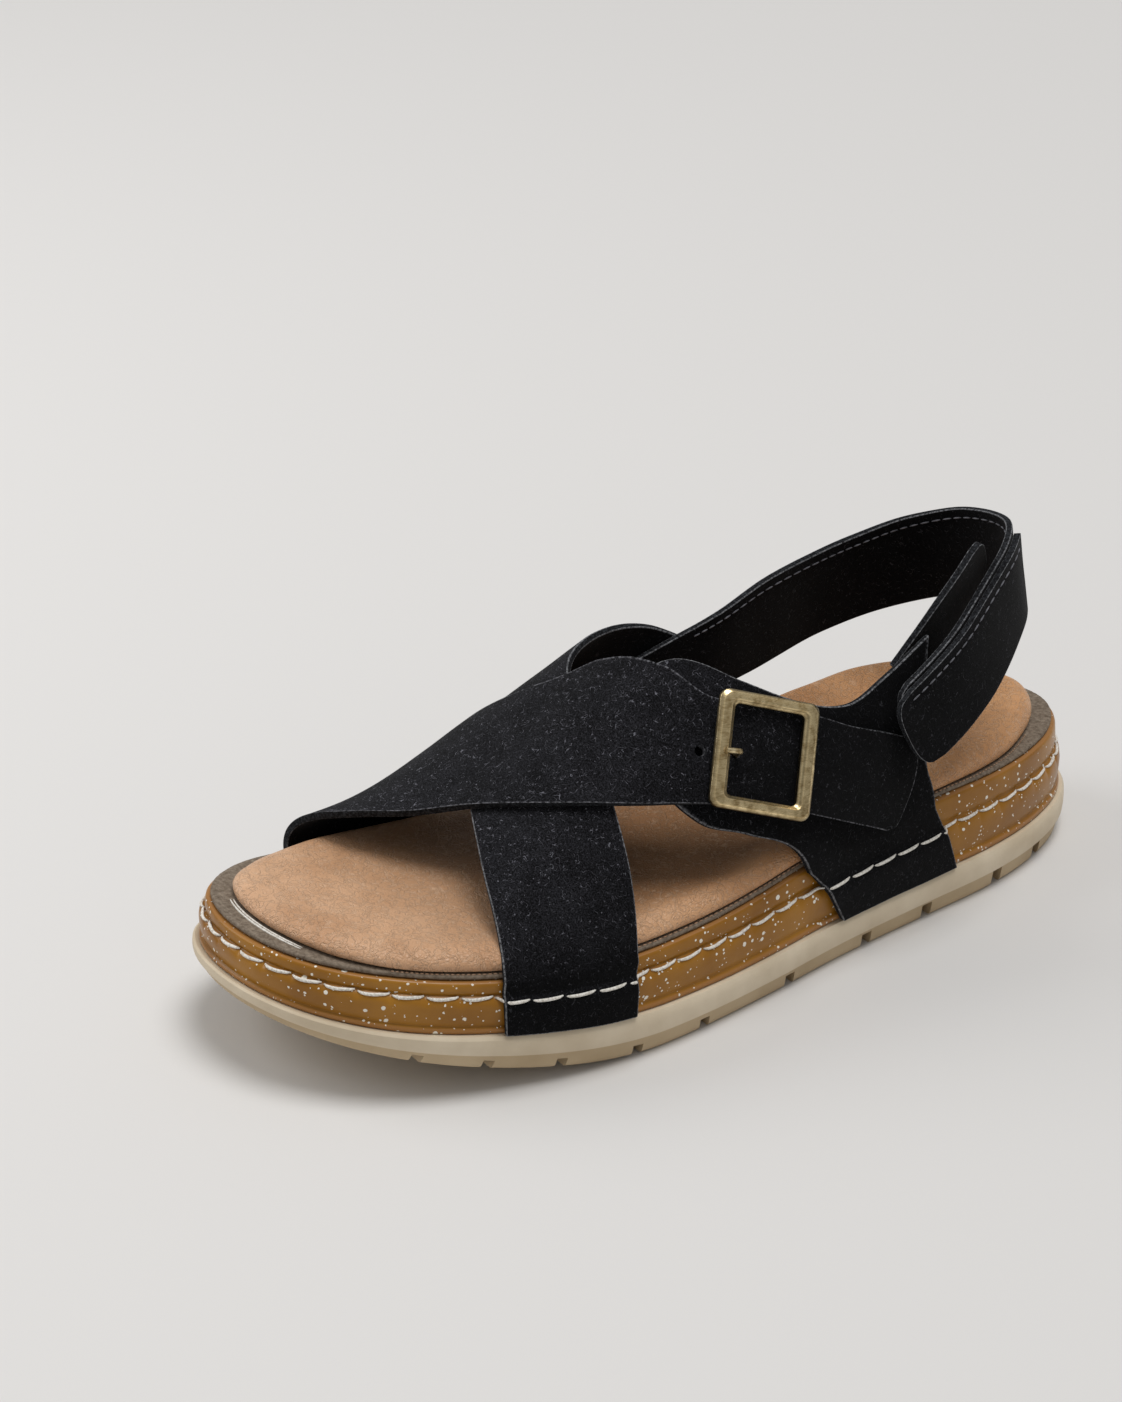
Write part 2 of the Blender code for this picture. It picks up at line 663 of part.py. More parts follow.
def make_tube(name, points, diameter, collection):
    """Round bar through a list of points, as a welded mesh."""
    path = bpy.data.curves.new(name, "CURVE")
    path.dimensions = "3D"
    path.bevel_depth = diameter / 2
    path.bevel_resolution = 2
    path.use_fill_caps = True
    line = path.splines.new("POLY")
    line.points.add(len(points) - 1)
    for node, point in zip(line.points, points):
        node.co = (*point, 1)
    guide = bpy.data.objects.new(name + "_path", path)
    collection.objects.link(guide)
    evaluated = guide.evaluated_get(bpy.context.evaluated_depsgraph_get())
    mesh = bpy.data.meshes.new_from_object(evaluated)
    shape = bmesh.new()
    shape.from_mesh(mesh)
    bmesh.ops.remove_doubles(shape, verts=shape.verts, dist=WELD)
    bmesh.ops.recalc_face_normals(shape, faces=shape.faces)
    shape.to_mesh(mesh)
    shape.free()
    bpy.data.objects.remove(guide)
    return add_object(name, mesh, collection)


def make_buckle_frame(collection, cutters):
    """Flat bevelled frame with a hidden bar that runs under the strap from rail to rail."""
    frame = buckle_frame_matrix()
    seat = buckle_seat(frame)
    end_rail = BUCKLE_RAIL * END_RAIL_SHARE
    shape = bmesh.new()
    edges = []
    inner = (BUCKLE_WIDTH - 2 * BUCKLE_RAIL, BUCKLE_HEIGHT - 2 * end_rail, BUCKLE_CORNER / 2)
    for width, height, corner in ((BUCKLE_WIDTH, BUCKLE_HEIGHT, BUCKLE_CORNER), inner):
        loop = [shape.verts.new((x, y, seat)) for x, y in rounded_rectangle(width, height, corner)]
        edges += [shape.edges.new((loop[k - 1], loop[k])) for k in range(len(loop))]
    bmesh.ops.bridge_loops(shape, edges=edges)
    upper = bmesh.ops.extrude_face_region(shape, geom=shape.faces[:])
    raised = [item for item in upper["geom"] if isinstance(item, bmesh.types.BMVert)]
    bmesh.ops.translate(shape, verts=raised, vec=(0, 0, BUCKLE_THICKNESS))
    bmesh.ops.recalc_face_normals(shape, faces=shape.faces)
    bmesh.ops.transform(shape, matrix=frame, verts=shape.verts)
    mesh = bpy.data.meshes.new("buckle_frame")
    shape.to_mesh(mesh)
    shape.free()
    buckle = add_object("buckle_frame", mesh, collection)
    edge = buckle.modifiers.new("edge", "BEVEL")
    edge.width = BUCKLE_THICKNESS * FRAME_BEVEL
    edge.segments = 2
    edge.limit_method = "ANGLE"
    edge.angle_limit = PIN_SHARP

    drop = SEAT_GAP + BUCKLE_BAR / 2
    points = []
    for k in range(SEAT_SAMPLES + 1):
        spot = strap_spot(frame, 0.0, k / SEAT_SAMPLES)
        points.append(Vector((0, spot.y, spot.z - drop)))
    rail_y = BUCKLE_HEIGHT / 2 - BUCKLE_BAR * POST_INSET
    for end, side in ((0, -1), (-1, 1)):
        low = points[end].z
        post = [Vector((0, side * rail_y, low)), Vector((0, side * rail_y, seat + BUCKLE_THICKNESS / 2))]
        points = post[::-1] + points if side < 0 else points + post
    bar = make_tube("buckle_bar", [frame @ point for point in points], BUCKLE_BAR, cutters)
    cut(buckle, bar, "UNION")
    mesh.shade_smooth()
    mesh.set_sharp_from_angle(angle=FRAME_SHARP)
    return buckle


def make_buckle_prong(collection):
    """Pin that comes up through the strap's hole and rests on the frame's front rail."""
    frame = buckle_frame_matrix()
    seat = buckle_seat(frame)
    radius = PRONG_DIAMETER / 2
    lowest = min(strap_spot(frame, 0.0, 0.5).z, strap_spot(frame, prong_hole_x(), 0.5).z)
    under = lowest - SEAT_GAP - radius
    over = seat + BUCKLE_THICKNESS + SEAT_GAP + radius
    hole = prong_hole_x()
    start = -(BUCKLE_BAR / 2 + SEAT_GAP)
    points = [(start, under), (hole * PRONG_BEND, under), (hole, under + radius), (hole, seat + radius),
              (hole - radius, over - radius / 2), (hole - 2 * radius, over),
              (hole - PRONG_HOLE - PRONG_OVERHANG * BUCKLE_RAIL, over)]
    path = [frame @ Vector((x, 0, z)) for x, z in points]
    prong = make_tube("buckle_prong", path, PRONG_DIAMETER, collection)
    prong.data.shade_smooth()
    prong.data.set_sharp_from_angle(angle=PIN_SHARP)
    return prong


def heel_strap_edges():
    edges = []
    inward = -(LEATHER + 2 * SEAT_GAP)
    for station, low, high in zip(HEEL_STRAP_START["station"], HEEL_STRAP_START["low_turn"],
                                  HEEL_STRAP_START["high_turn"]):
        edges.append((wrap_lifted(station, low, inward), wrap_lifted(station, high, inward)))
    return edges + free_edges(HEEL_STRAP, HEEL_STRAP_WIDTH)


def make_quarter(collection):
    quarter = sheet("lateral_quarter", cut_pattern(QUARTER, top=QUARTER_TOP), QUARTER_CELLS,
                    QUARTER_STRIPS, True, collection)
    thicken(quarter, LEATHER)
    return quarter


def make_heel_strap(collection):
    place = band_place(heel_strap_edges(), 0.0, 0.0, HEEL_STRAP_END, end_round=HEEL_STRAP_ROUND)
    strap = sheet("heel_strap", place, HEEL_STRAP_CELLS, HEEL_STRAP_STRIPS, True, collection)
    thicken(strap, LEATHER)
    return strap


def make_heel_tab(collection):
    place = band_place(heel_strap_edges(), LEATHER + SEAT_GAP, TAB_START, 1.0,
                       (TAB_WIDTH - HEEL_STRAP_WIDTH) / 2, TAB_ROUND)
    tab = sheet("heel_tab", place, TAB_CELLS, STRAP_STRIPS, True, collection)
    thicken(tab, LEATHER)
    return tab


def make_quarter_ear(collection):
    place = band_place(free_edges(EAR, EAR_WIDTH), 0.0, end_round=EAR_ROUND)
    ear = sheet("quarter_ear", place, EAR_CELLS, STRAP_STRIPS, True, collection)
    thicken(ear, LEATHER)
    return ear


def paint(thing, finish):
    """Give a piece its own material, from its colour, roughness and metal."""
    colour, roughness, metallic = finish
    material = bpy.data.materials.new(thing.name)
    material.use_nodes = True
    shader = material.node_tree.nodes["Principled BSDF"]
    shader.inputs["Base Color"].default_value = (*colour, 1)
    shader.inputs["Roughness"].default_value = roughness
    shader.inputs["Metallic"].default_value = metallic
    thing.data.materials.clear()
    thing.data.materials.append(material)


def main():
    for thing in list(bpy.data.objects):
        bpy.data.objects.remove(thing)
    sandal = bpy.data.collections.new("cross_strap_sandal")
    cutters = bpy.data.collections.new("cutters")
    for collection in (sandal, cutters):
        bpy.context.scene.collection.children.link(collection)

    paint(make_outsole(sandal, cutters), RUBBER)
    paint(make_midsole(sandal), FOAM)
    paint(make_rim_board(sandal), BOARD)
    paint(make_footbed(sandal), TAN_LEATHER)
    paint(make_cross_straps(sandal, cutters), BLACK_NUBUCK)
    paint(make_quarter(sandal), BLACK_NUBUCK)
    paint(make_heel_strap(sandal), BLACK_NUBUCK)
    paint(make_heel_tab(sandal), BLACK_NUBUCK)
    paint(make_quarter_ear(sandal), BLACK_NUBUCK)
    paint(make_buckle_frame(sandal, cutters), BRASS)
    paint(make_buckle_prong(sandal), BRASS)


main()
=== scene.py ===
"""Cross strap sandal, left shoe, finished for a still picture."""
from math import asin, atan, cos, exp, pi, radians, sin, sqrt

import bmesh
import bpy
from mathutils import Matrix, Vector, noise


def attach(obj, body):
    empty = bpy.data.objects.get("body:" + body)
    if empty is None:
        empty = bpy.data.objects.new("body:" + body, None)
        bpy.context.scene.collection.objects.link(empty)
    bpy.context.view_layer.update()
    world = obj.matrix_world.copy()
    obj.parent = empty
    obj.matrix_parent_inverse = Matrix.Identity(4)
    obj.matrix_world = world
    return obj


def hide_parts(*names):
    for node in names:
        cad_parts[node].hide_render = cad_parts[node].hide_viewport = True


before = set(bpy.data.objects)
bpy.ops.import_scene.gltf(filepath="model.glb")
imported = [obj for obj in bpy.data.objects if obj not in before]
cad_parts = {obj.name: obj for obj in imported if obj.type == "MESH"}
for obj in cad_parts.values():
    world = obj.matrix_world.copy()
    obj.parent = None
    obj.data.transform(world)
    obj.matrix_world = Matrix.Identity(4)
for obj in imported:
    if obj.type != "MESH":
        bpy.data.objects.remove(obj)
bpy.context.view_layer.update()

# Studio: a plain pale floor under a high soft light, with a round softbox on the left, and
# the camera that looks down on the shoe's outer side from the front.
FLOOR_COLOUR = (0.715, 0.702, 0.688, 1)
FLOOR_SIZE = 6
SKY_COLOUR = (1, 0.995, 0.985, 1)
SKY_STRENGTH = 0.335
KEY_PLACE = (0.1, 0.15, 1)
KEY_STRENGTH = 1.69
KEY_SPREAD = radians(30)
SOFTBOX_PLACE = (-0.75, -0.75, 0.75)
SOFTBOX_STRENGTH = 5
SOFTBOX_SIZE = 0.9
CAMERA_PLACE = (0.54272, -0.405567, 0.405734)
CAMERA_AIM = (-0.121429, 0.046289, 0.0019)
FOCAL_LENGTH = 77.03
SENSOR_WIDTH = 36
NEAREST_SEEN = 0.01


def new_material(name, roughness, specular=0.5, **sockets):
    """Material with one Principled shader, and its tree and the piece's own coordinates."""
    material = bpy.data.materials.new(name)
    material.use_nodes = True
    tree = material.node_tree
    shader = tree.nodes["Principled BSDF"].inputs
    shader["Roughness"].default_value = roughness
    shader["Specular IOR Level"].default_value = specular
    for socket, value in sockets.items():
        shader[socket.replace("_", " ")].default_value = value
    return material, tree, tree.nodes.new("ShaderNodeTexCoord").outputs["Object"]


def as_mesh(shape, name):
    mesh = bpy.data.meshes.new(name)
    shape.to_mesh(mesh)
    shape.free()
    return mesh


def as_object(name, data):
    thing = bpy.data.objects.new(name, data)
    scene.collection.objects.link(thing)
    return thing


def set_up(name, data, place, aim=(0, 0, 0)):
    """Light or camera in the studio, turned toward the point that it aims at."""
    thing = as_object(name, data)
    thing.location = place
    thing.rotation_euler = (Vector(aim) - Vector(place)).to_track_quat("-Z", "Y").to_euler()
    return thing


scene = bpy.context.scene
scene.view_settings.view_transform = "Standard"
world = bpy.data.worlds.new("studio")
world.use_nodes = True
world.node_tree.nodes["Background"].inputs["Color"].default_value = SKY_COLOUR
world.node_tree.nodes["Background"].inputs["Strength"].default_value = SKY_STRENGTH
scene.world = world

floor_shape = bmesh.new()
bmesh.ops.create_grid(floor_shape, x_segments=1, y_segments=1, size=FLOOR_SIZE)
floor = as_object("floor", as_mesh(floor_shape, "floor"))
floor.data.materials.append(new_material("pale_floor", 0.9, 0.1, Base_Color=FLOOR_COLOUR)[0])

key = bpy.data.lights.new("key", "SUN")
key.energy = KEY_STRENGTH
key.angle = KEY_SPREAD
set_up("key", key, KEY_PLACE)
softbox = bpy.data.lights.new("left_softbox", "AREA")
softbox.energy = SOFTBOX_STRENGTH
softbox.shape = "DISK"
softbox.size = SOFTBOX_SIZE
set_up("left_softbox", softbox, SOFTBOX_PLACE)
camera = bpy.data.cameras.new("camera")
camera.sensor_width = SENSOR_WIDTH
camera.lens = FOCAL_LENGTH
camera.clip_start = NEAREST_SEEN
scene.camera = set_up("camera", camera, CAMERA_PLACE, CAMERA_AIM)

# Outsole: one beige rubber moulding under the whole shoe. Its side has a light band over
# a turned-under one painted darker as shade, and notches across the tread show along the bottom edge.
LENGTH = 0.255
BALL_WIDTH = 0.0872
TOE_SPRING = 0.019
SPRING_START = 0.36
SPRING_CURVE = 1.6
OUTSOLE_HEIGHT = 0.0121
SOLE_HEIGHT = 0.0319
OUTSOLE_FLARE = 0.0012
MIDDLE_START = 0.17
MIDDLE_END = 0.84
# Width and depth of the notches, each at the toe and at the heel
NOTCH_WIDTHS = (0.00238, 0.00408)
NOTCH_DEPTHS = (0.00168, 0.0056)
NOTCH_BLOCK = 0.02
OUTSOLE_EDGE = 0.0003
SHARP_ANGLE = radians(35)
WELD_REACH = 0.00001
SOLE_CELLS = 480
NOTCH_STATIONS = (0.103, 0.166, 0.238, 0.322, 0.407, 0.523, 0.634, 0.721, 0.827, 0.9)
OUTLINE = {
    "station": (0, 0.06, 0.165, 0.314, 0.49, 0.608, 0.7255, 0.8235, 0.902, 0.96, 1),
    "half": (0.86, 0.757, 0.64, 0.54, 0.4255, 0.391, 0.428, 0.508, 0.572, 0.6, 0.59),
    "centre": (-0.157, -0.113, -0.047, 0.02, 0.058, 0.0485, 0.013, -0.023, -0.0386, -0.028, -0.009),
}
EDGE_HEIGHTS = {
    "station": (0, 0.05, 0.1, 0.15, 0.2, 0.27, 0.34, 0.45, 0.56, 0.74, 0.85, 1),
    "outsole": (0.447, 0.539, 0.638, 0.744, 0.838, 0.929, 0.977, 0.941, 0.975, 1, 1, 1),
    "midsole": (0.533, 0.594, 0.652, 0.692, 0.727, 0.782, 0.825, 0.852, 0.937, 1.012, 1, 0.984),
}
# Share drawn to the middle line, share of the flare, and share of the height
OUTSOLE_SIDE = (
    (1, -0.9, 0), (0.6, -0.9, 0), (0.2, -0.9, 0), (0, -0.9, 0), (0, -0.35, 0.06),
    (0, -0.1, 0.16), (0, 0.1, 0.3), (0, 0.35, 0.43), (0, 0.9, 0.46), (0, 1, 0.49),
    (0, 1.1, 0.62), (0, 1.1, 0.76), (0, 1, 0.91), (0, 0.5, 1), (0.3, 0.5, 1),
    (1, 0.5, 1))


def clamp(value, low=0, high=1):
    return min(max(value, low), high)


def between(ends, share):
    return ends[0] + (ends[1] - ends[0]) * share


def row_of(table, up):
    return table[round(up * (len(table) - 1))]


def blend(table, column, share, key="station"):
    """Smooth value between the rows of a table, held level beyond its ends."""
    rows, values = table[key], table[column]
    share = clamp(share, rows[0], rows[-1])
    last = len(rows) - 1
    index = max(k for k in range(last) if rows[k] <= share)
    step = rows[index + 1] - rows[index]

    def slope(k):
        low, high = max(k - 1, 0), min(k + 1, last)
        return (values[high] - values[low]) / (rows[high] - rows[low])

    t = (share - rows[index]) / step
    return (values[index] * (2 * t**3 - 3 * t**2 + 1) + values[index + 1] * (3 * t**2 - 2 * t**3)
            + step * slope(index) * (t**3 - 2 * t**2 + t)
            + step * slope(index + 1) * (t**3 - t**2))


def spring(station):
    return TOE_SPRING * max(0, (SPRING_START - station) / SPRING_START) ** SPRING_CURVE


def station_of(point):
    return point[1] / LENGTH + 0.5


def station_at(angle):
    return (1 - cos(angle)) / 2


def outsole_top(station):
    return spring(station) + OUTSOLE_HEIGHT * blend(EDGE_HEIGHTS, "outsole", station)


def midsole_top(station):
    return spring(station) + SOLE_HEIGHT * blend(EDGE_HEIGHTS, "midsole", station)


def middle_point(station):
    return Vector((blend(OUTLINE, "centre", station) * BALL_WIDTH, (station - 0.5) * LENGTH))


def outline_point(angle):
    station = station_at(angle)
    half = blend(OUTLINE, "half", station) * BALL_WIDTH
    return middle_point(station) + Vector((half * sin(angle), 0))


def inset_point(angle, inset):
    """Point of the sole's outline moved square inward: angle 0 is the toe."""
    step = 0.01
    along = outline_point(angle + step) - outline_point(angle - step)
    along.normalize()
    return outline_point(angle) - inset * Vector((along.y, -along.x))


def drawn_point(angle, inset, draw):
    """The same point, drawn by a share toward the shoe's middle line."""
    station = clamp(station_at(angle), MIDDLE_START, MIDDLE_END)
    return inset_point(angle, inset).lerp(middle_point(station), draw)


def weld(shape):
    """Join the points that meet, and turn every face outward."""
    bmesh.ops.remove_doubles(shape, verts=shape.verts, dist=WELD_REACH)
    bmesh.ops.recalc_face_normals(shape, faces=shape.faces)


def lay(name, cells, strips, place, closed=True, flip=False):
    """Mesh from a grid, with each point laid in place by its two shares from 0 to 1."""
    shape = bmesh.new()
    bmesh.ops.create_grid(shape, x_segments=cells, y_segments=strips, size=0.5)
    pattern = shape.loops.layers.uv.new("pattern")
    for face in shape.faces:
        for loop in face.loops:
            loop[pattern].uv = (loop.vert.co.x + 0.5, loop.vert.co.y + 0.5)
    for vertex in shape.verts:
        vertex.co = place(clamp(vertex.co.x + 0.5), clamp(vertex.co.y + 0.5))
    if closed:
        weld(shape)
    if flip:
        bmesh.ops.reverse_faces(shape, faces=shape.faces)
    mesh = as_mesh(shape, name)
    mesh.shade_smooth()
    return mesh


def add_piece(name, mesh, materials, stands_for=None):
    """Object for one finished piece of the shoe."""
    piece = as_object(name, mesh)
    mesh.materials.clear()
    for material in materials:
        mesh.materials.append(material)
    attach(piece, "root")
    if stands_for:
        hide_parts(stands_for)
    return piece


def plain_mesh(thing):
    """Mesh of an object as it stands, with its modifiers or its round path made real."""
    bpy.context.view_layer.update()
    return bpy.data.meshes.new_from_object(thing.evaluated_get(bpy.context.evaluated_depsgraph_get()))


def cut_away(piece, tool_shape):
    """Cut a shape out of a piece, and leave the piece as a plain mesh with its finishes."""
    tool = as_object("cutter", as_mesh(tool_shape, "cutter"))
    step = piece.modifiers.new("cut", "BOOLEAN")
    step.operation = "DIFFERENCE"
    step.object = tool
    done = plain_mesh(piece)
    materials = list(piece.data.materials)
    finishes = [face.material_index for face in done.polygons]
    piece.modifiers.clear()
    piece.data = done
    done.materials.clear()
    for material in materials:
        done.materials.append(material)
    done.polygons.foreach_set("material_index", finishes)
    bpy.data.objects.remove(tool)
    done.shade_smooth()
    done.set_sharp_from_angle(angle=SHARP_ANGLE)


def round_edges(piece, width, angle=30, finish=-1):
    edge = piece.modifiers.new("edge", "BEVEL")
    edge.width = width
    edge.segments = 2
    edge.material = finish
    edge.limit_method = "ANGLE"
    edge.angle_limit = radians(angle)


def add_node(tree, kind, feeds, **settings):
    """Outputs of a new shader node, whose sockets are fed by values or by other sockets."""
    node = tree.nodes.new("ShaderNode" + kind)
    for name, value in settings.items():
        setattr(node, name, value)
    for name, value in feeds.items():
        if isinstance(value, bpy.types.NodeSocket):
            tree.links.new(value, node.inputs[name])
        else:
            node.inputs[name].default_value = value
    return node.outputs


def sheet_axes(tree):
    """X along a piece's mesh and Y across it, each from 0 to 1."""
    return add_node(tree, "SeparateXYZ", {"Vector": add_node(tree, "TexCoord", {})["UV"]})


def cloudy(tree, place, scale, detail=2, **more):
    return add_node(tree, "TexNoise", {"Vector": place, "Scale": scale, "Detail": detail, **more})["Fac"]


def mix(tree, share, first, second, way="MIX"):
    """Colour between two colours."""
    return add_node(tree, "Mix", {"Factor": share, 6: first, 7: second},
                    data_type="RGBA", blend_type=way)[2]


def ramp(tree, mask, *stops):
    """Colours read off a mask: each stop is a value from 0 to 1 and its colour."""
    node = tree.nodes.new("ShaderNodeValToRGB")
    tree.links.new(mask, node.inputs["Fac"])
    elements = node.color_ramp.elements
    for spot, _ in stops[1:-1]:
        elements.new(spot)
    for element, (spot, colour) in zip(elements, stops):
        element.position = spot
        element.color = (*colour, 1)
    return node.outputs["Color"]


def surface(tree, colour, height=None, strength=0, depth=0, roughness=None):
    """Colour of a material and, from masks, its fine relief and its roughness."""
    shader = tree.nodes["Principled BSDF"].inputs
    tree.links.new(colour, shader["Base Color"])
    if height is not None:
        relief = add_node(tree, "Bump", {"Height": height, "Strength": strength, "Distance": depth})
        tree.links.new(relief["Normal"], shader["Normal"])
    if roughness is not None:
        tree.links.new(roughness, shader["Roughness"])


def lay_outsole(across, up):
    draw, flare, height = row_of(OUTSOLE_SIDE, up)
    flat = drawn_point(2 * pi * across, -flare * OUTSOLE_FLARE, draw)
    station = station_of(flat)
    return Vector((*flat, between((spring(station), outsole_top(station)), height)))


rubber, tree, place = new_material("beige_rubber", 0.62, 0.35)
tone = ramp(tree, cloudy(tree, place, 60, 4),
            (0.35, (0.61, 0.505, 0.36)), (0.68, (0.74, 0.635, 0.48)))
# the turned-under band is painted darker, as shade under the side's crease
painted_underside_shade = ramp(tree, sheet_axes(tree)["Y"], (0.5, (0.76, 0.69, 0.58)), (0.56, (1, 1, 1)))
surface(tree, mix(tree, 1, tone, painted_underside_shade, "MULTIPLY"), cloudy(tree, place, 1500, 3), 0.25, 0.0002)

outsole_mesh = lay("outsole_moulding", SOLE_CELLS, len(OUTSOLE_SIDE) - 1, lay_outsole)
outsole = add_piece("outsole_moulding", outsole_mesh, [rubber], "outsole")
notches = bmesh.new()
for station in NOTCH_STATIONS:
    depth = between(NOTCH_DEPTHS, station)
    centre = Vector((0, (station - 0.5) * LENGTH, spring(station) - NOTCH_BLOCK / 2 + depth))
    slope = (spring(station + 0.01) - spring(station - 0.01)) / 0.02 / LENGTH
    size = Matrix.Diagonal((2 * BALL_WIDTH, between(NOTCH_WIDTHS, station), NOTCH_BLOCK, 1))
    turn = Matrix.Translation(centre) @ Matrix.Rotation(atan(slope), 4, "X")
    bmesh.ops.create_cube(notches, size=1, matrix=turn @ size)
cut_away(outsole, notches)
round_edges(outsole, OUTSOLE_EDGE)

# Midsole: glossy amber foam with pale flecks, moulded with a thin lip at its base, a full
# lower band that the welt seam pulls in at every stitch, and a set-in upper band.
SEAT_GAP = 0.0003
MIDSOLE_STEP = 0.0031
STITCH_PITCH = 0.0084
SHOULDER = 0.61
SEAM_HEIGHTS = {
    "station": (0, 0.12, 0.25, 0.4, 0.6, 0.8, 1),
    "height": (0.7, 0.72, 0.72, 0.68, 0.63, 0.6, 0.6),
}
# Share drawn to the middle line, share of the step inward, and share of the wall height
MIDSOLE_SIDE = (
    (1, 0.18, 0), (0.4, 0.18, 0), (0, 0.18, 0), (0, 0.13, 0.02), (0, 0.13, 0.055),
    (0, 0.2, 0.08), (0, 0.4, 0.1), (0, 0.38, 0.125), (0, 0.3, 0.18), (0, 0.25, 0.25),
    (0, 0.21, 0.34), (0, 0.2, 0.43), (0, 0.24, 0.5), (0, 0.33, 0.55), (0, 0.48, 0.59),
    (0, 0.74, 0.615), (0, 0.84, 0.645), (0, 0.78, 0.68), (0, 0.74, 0.72), (0, 0.75, 0.8),
    (0, 0.79, 0.88), (0, 0.83, 0.94), (0, 0.9, 0.975), (0, 1.05, 1), (0.3, 1.05, 1),
    (1, 1.05, 1))
# Rows of that table where the foam is a lighter orange brown, and how much of it
LIGHT_ROWS = ((0, 0.8), (4.6, 0.8), (5.4, 0), (22, 0), (22.5, 0.8), (25, 0.8))
RUN_STEPS = 1440
# How far each stitch pulls the wall in, as a share of the step, and where on the wall
PULL_DEPTH = 0.2
PULL_HEIGHT = 0.58
PULL_SPREAD = 0.08
run = [0]
for k in range(RUN_STEPS):
    here, there = (outline_point(2 * pi * (k + j) / RUN_STEPS) for j in (0, 1))
    run.append(run[-1] + (there - here).length)
STITCH_COUNT = round(run[-1] / STITCH_PITCH)


def stitch_phase(angle):
    """Number of stitches from the toe to this point of the outline."""
    spot = (angle / (2 * pi)) % 1 * RUN_STEPS
    k = min(int(spot), RUN_STEPS - 1)
    return (run[k] + (spot - k) * (run[k + 1] - run[k])) / run[-1] * STITCH_COUNT


def wall_height(station, share):
    """Height on the midsole wall, with its shares drawn up or down to the seam's groove."""
    share = clamp(share)
    seam = blend(SEAM_HEIGHTS, "height", station)
    if share < SHOULDER:
        share *= seam / SHOULDER
    else:
        share = 1 - (1 - share) * (1 - seam) / (1 - SHOULDER)
    return between((outsole_top(station) + SEAT_GAP, midsole_top(station)), share)


def hump(value, centre, spread):
    return exp(-((value - centre) / spread) ** 2)


def lay_midsole(across, up):
    draw, inset, height = row_of(MIDSOLE_SIDE, up)
    angle = 2 * pi * across
    pull = (1 - abs(sin(pi * stitch_phase(angle)))) ** 2 * hump(height, PULL_HEIGHT, PULL_SPREAD)
    flat = drawn_point(angle, (inset + PULL_DEPTH * pull) * MIDSOLE_STEP, draw)
    return Vector((*flat, wall_height(station_of(flat), height)))


def new_group(name, inputs, outputs):
    """Empty node group: an input without a first value is a place, and all else a number."""
    group = bpy.data.node_groups.new(name, "ShaderNodeTree")
    for socket, value in inputs.items():
        kind = "NodeSocketVector" if value is None else "NodeSocketFloat"
        made = group.interface.new_socket(socket, in_out="INPUT", socket_type=kind)
        if value is not None:
            made.default_value = value
    for socket in outputs:
        group.interface.new_socket(socket, in_out="OUTPUT", socket_type="NodeSocketFloat")
    return group, group.nodes.new("NodeGroupInput").outputs, group.nodes.new("NodeGroupOutput").inputs


def maths(tree, operation, first, second=0, clamped=False):
    return add_node(tree, "Math", {0: first, 1: second}, operation=operation, use_clamp=clamped)[0]


flecks, given, out = new_group(
    "Flecks", {"Vector": None, "Scale": 500, "Size": 0.3, "Rarity": 2.5}, ["Mask"])
ripple = add_node(flecks, "TexNoise", {"Vector": given["Vector"], "Scale": 1400, "Detail": 1})
ripple = add_node(flecks, "VectorMath", {0: ripple["Color"], "Scale": 0.0004}, operation="SCALE")
moved = add_node(flecks, "VectorMath", {0: given["Vector"], 1: ripple[0]}, operation="ADD")
cells = add_node(flecks, "TexVoronoi", {"Vector": moved[0], "Scale": given["Scale"]})
chance = add_node(flecks, "SeparateColor", {"Color": cells["Color"]})[0]
reach = maths(flecks, "MULTIPLY", maths(flecks, "POWER", chance, given["Rarity"]), given["Size"])
inside = maths(flecks, "SUBTRACT", reach, cells["Distance"])
flecks.links.new(maths(flecks, "MULTIPLY", inside, 30, True), out["Mask"])


def fleck_mask(tree, place, scale, size, rarity):
    return add_node(tree, "Group", {"Vector": place, "Scale": scale, "Size": size, "Rarity": rarity},
                    node_tree=flecks)["Mask"]


foam, tree, place = new_material("amber_foam", 0.32, 0.28, Coat_Weight=0.05, Coat_Roughness=0.15)
amber = ramp(tree, cloudy(tree, place, 55, 5),
             (0.3, (0.255, 0.104, 0.009)), (0.72, (0.395, 0.178, 0.018)))
band = ramp(tree, sheet_axes(tree)["Y"],
            *((row / (len(MIDSOLE_SIDE) - 1), (much, much, much)) for row, much in LIGHT_ROWS))
tint = mix(tree, band, amber, (0.36, 0.165, 0.05, 1))
specks = maths(tree, "MAXIMUM", fleck_mask(tree, place, 330, 0.27, 2.2),
               fleck_mask(tree, place, 800, 0.33, 1.8))
skin = maths(tree, "ADD", specks, cloudy(tree, place, 420, 4, Roughness=0.6))
surface(tree, mix(tree, specks, tint, (0.88, 0.84, 0.74, 1)), skin, 0.3, 0.00025)

midsole_mesh = lay("midsole_foam", 3 * SOLE_CELLS, len(MIDSOLE_SIDE) - 1, lay_midsole)
add_piece("midsole_foam", midsole_mesh, [foam], "midsole")

# Rim board: a thin grey-brown board like pressed felt between the foam and the footbed.
# It shows as a crescent at the toe and the heel, and as a thin line along the sides.
BOARD_THICKNESS = 0.0012
BOARD_STEP = 0.0008
RAGGED_EDGE = 0.00012
RAGGED_WAVES = 300
# Share drawn to the middle line, inset in millimetres, and share of the thickness
BOARD_SIDE = ((1, 0.3, 0), (0.4, 0.3, 0), (0, 0.3, 0), (0, 0, 0.15), (0, -0.1, 0.5),
              (0, 0, 0.85), (0, 0.3, 1), (0.05, 0.3, 1), (0.2, 0.3, 1), (0.5, 0.3, 1),
              (1, 0.3, 1))


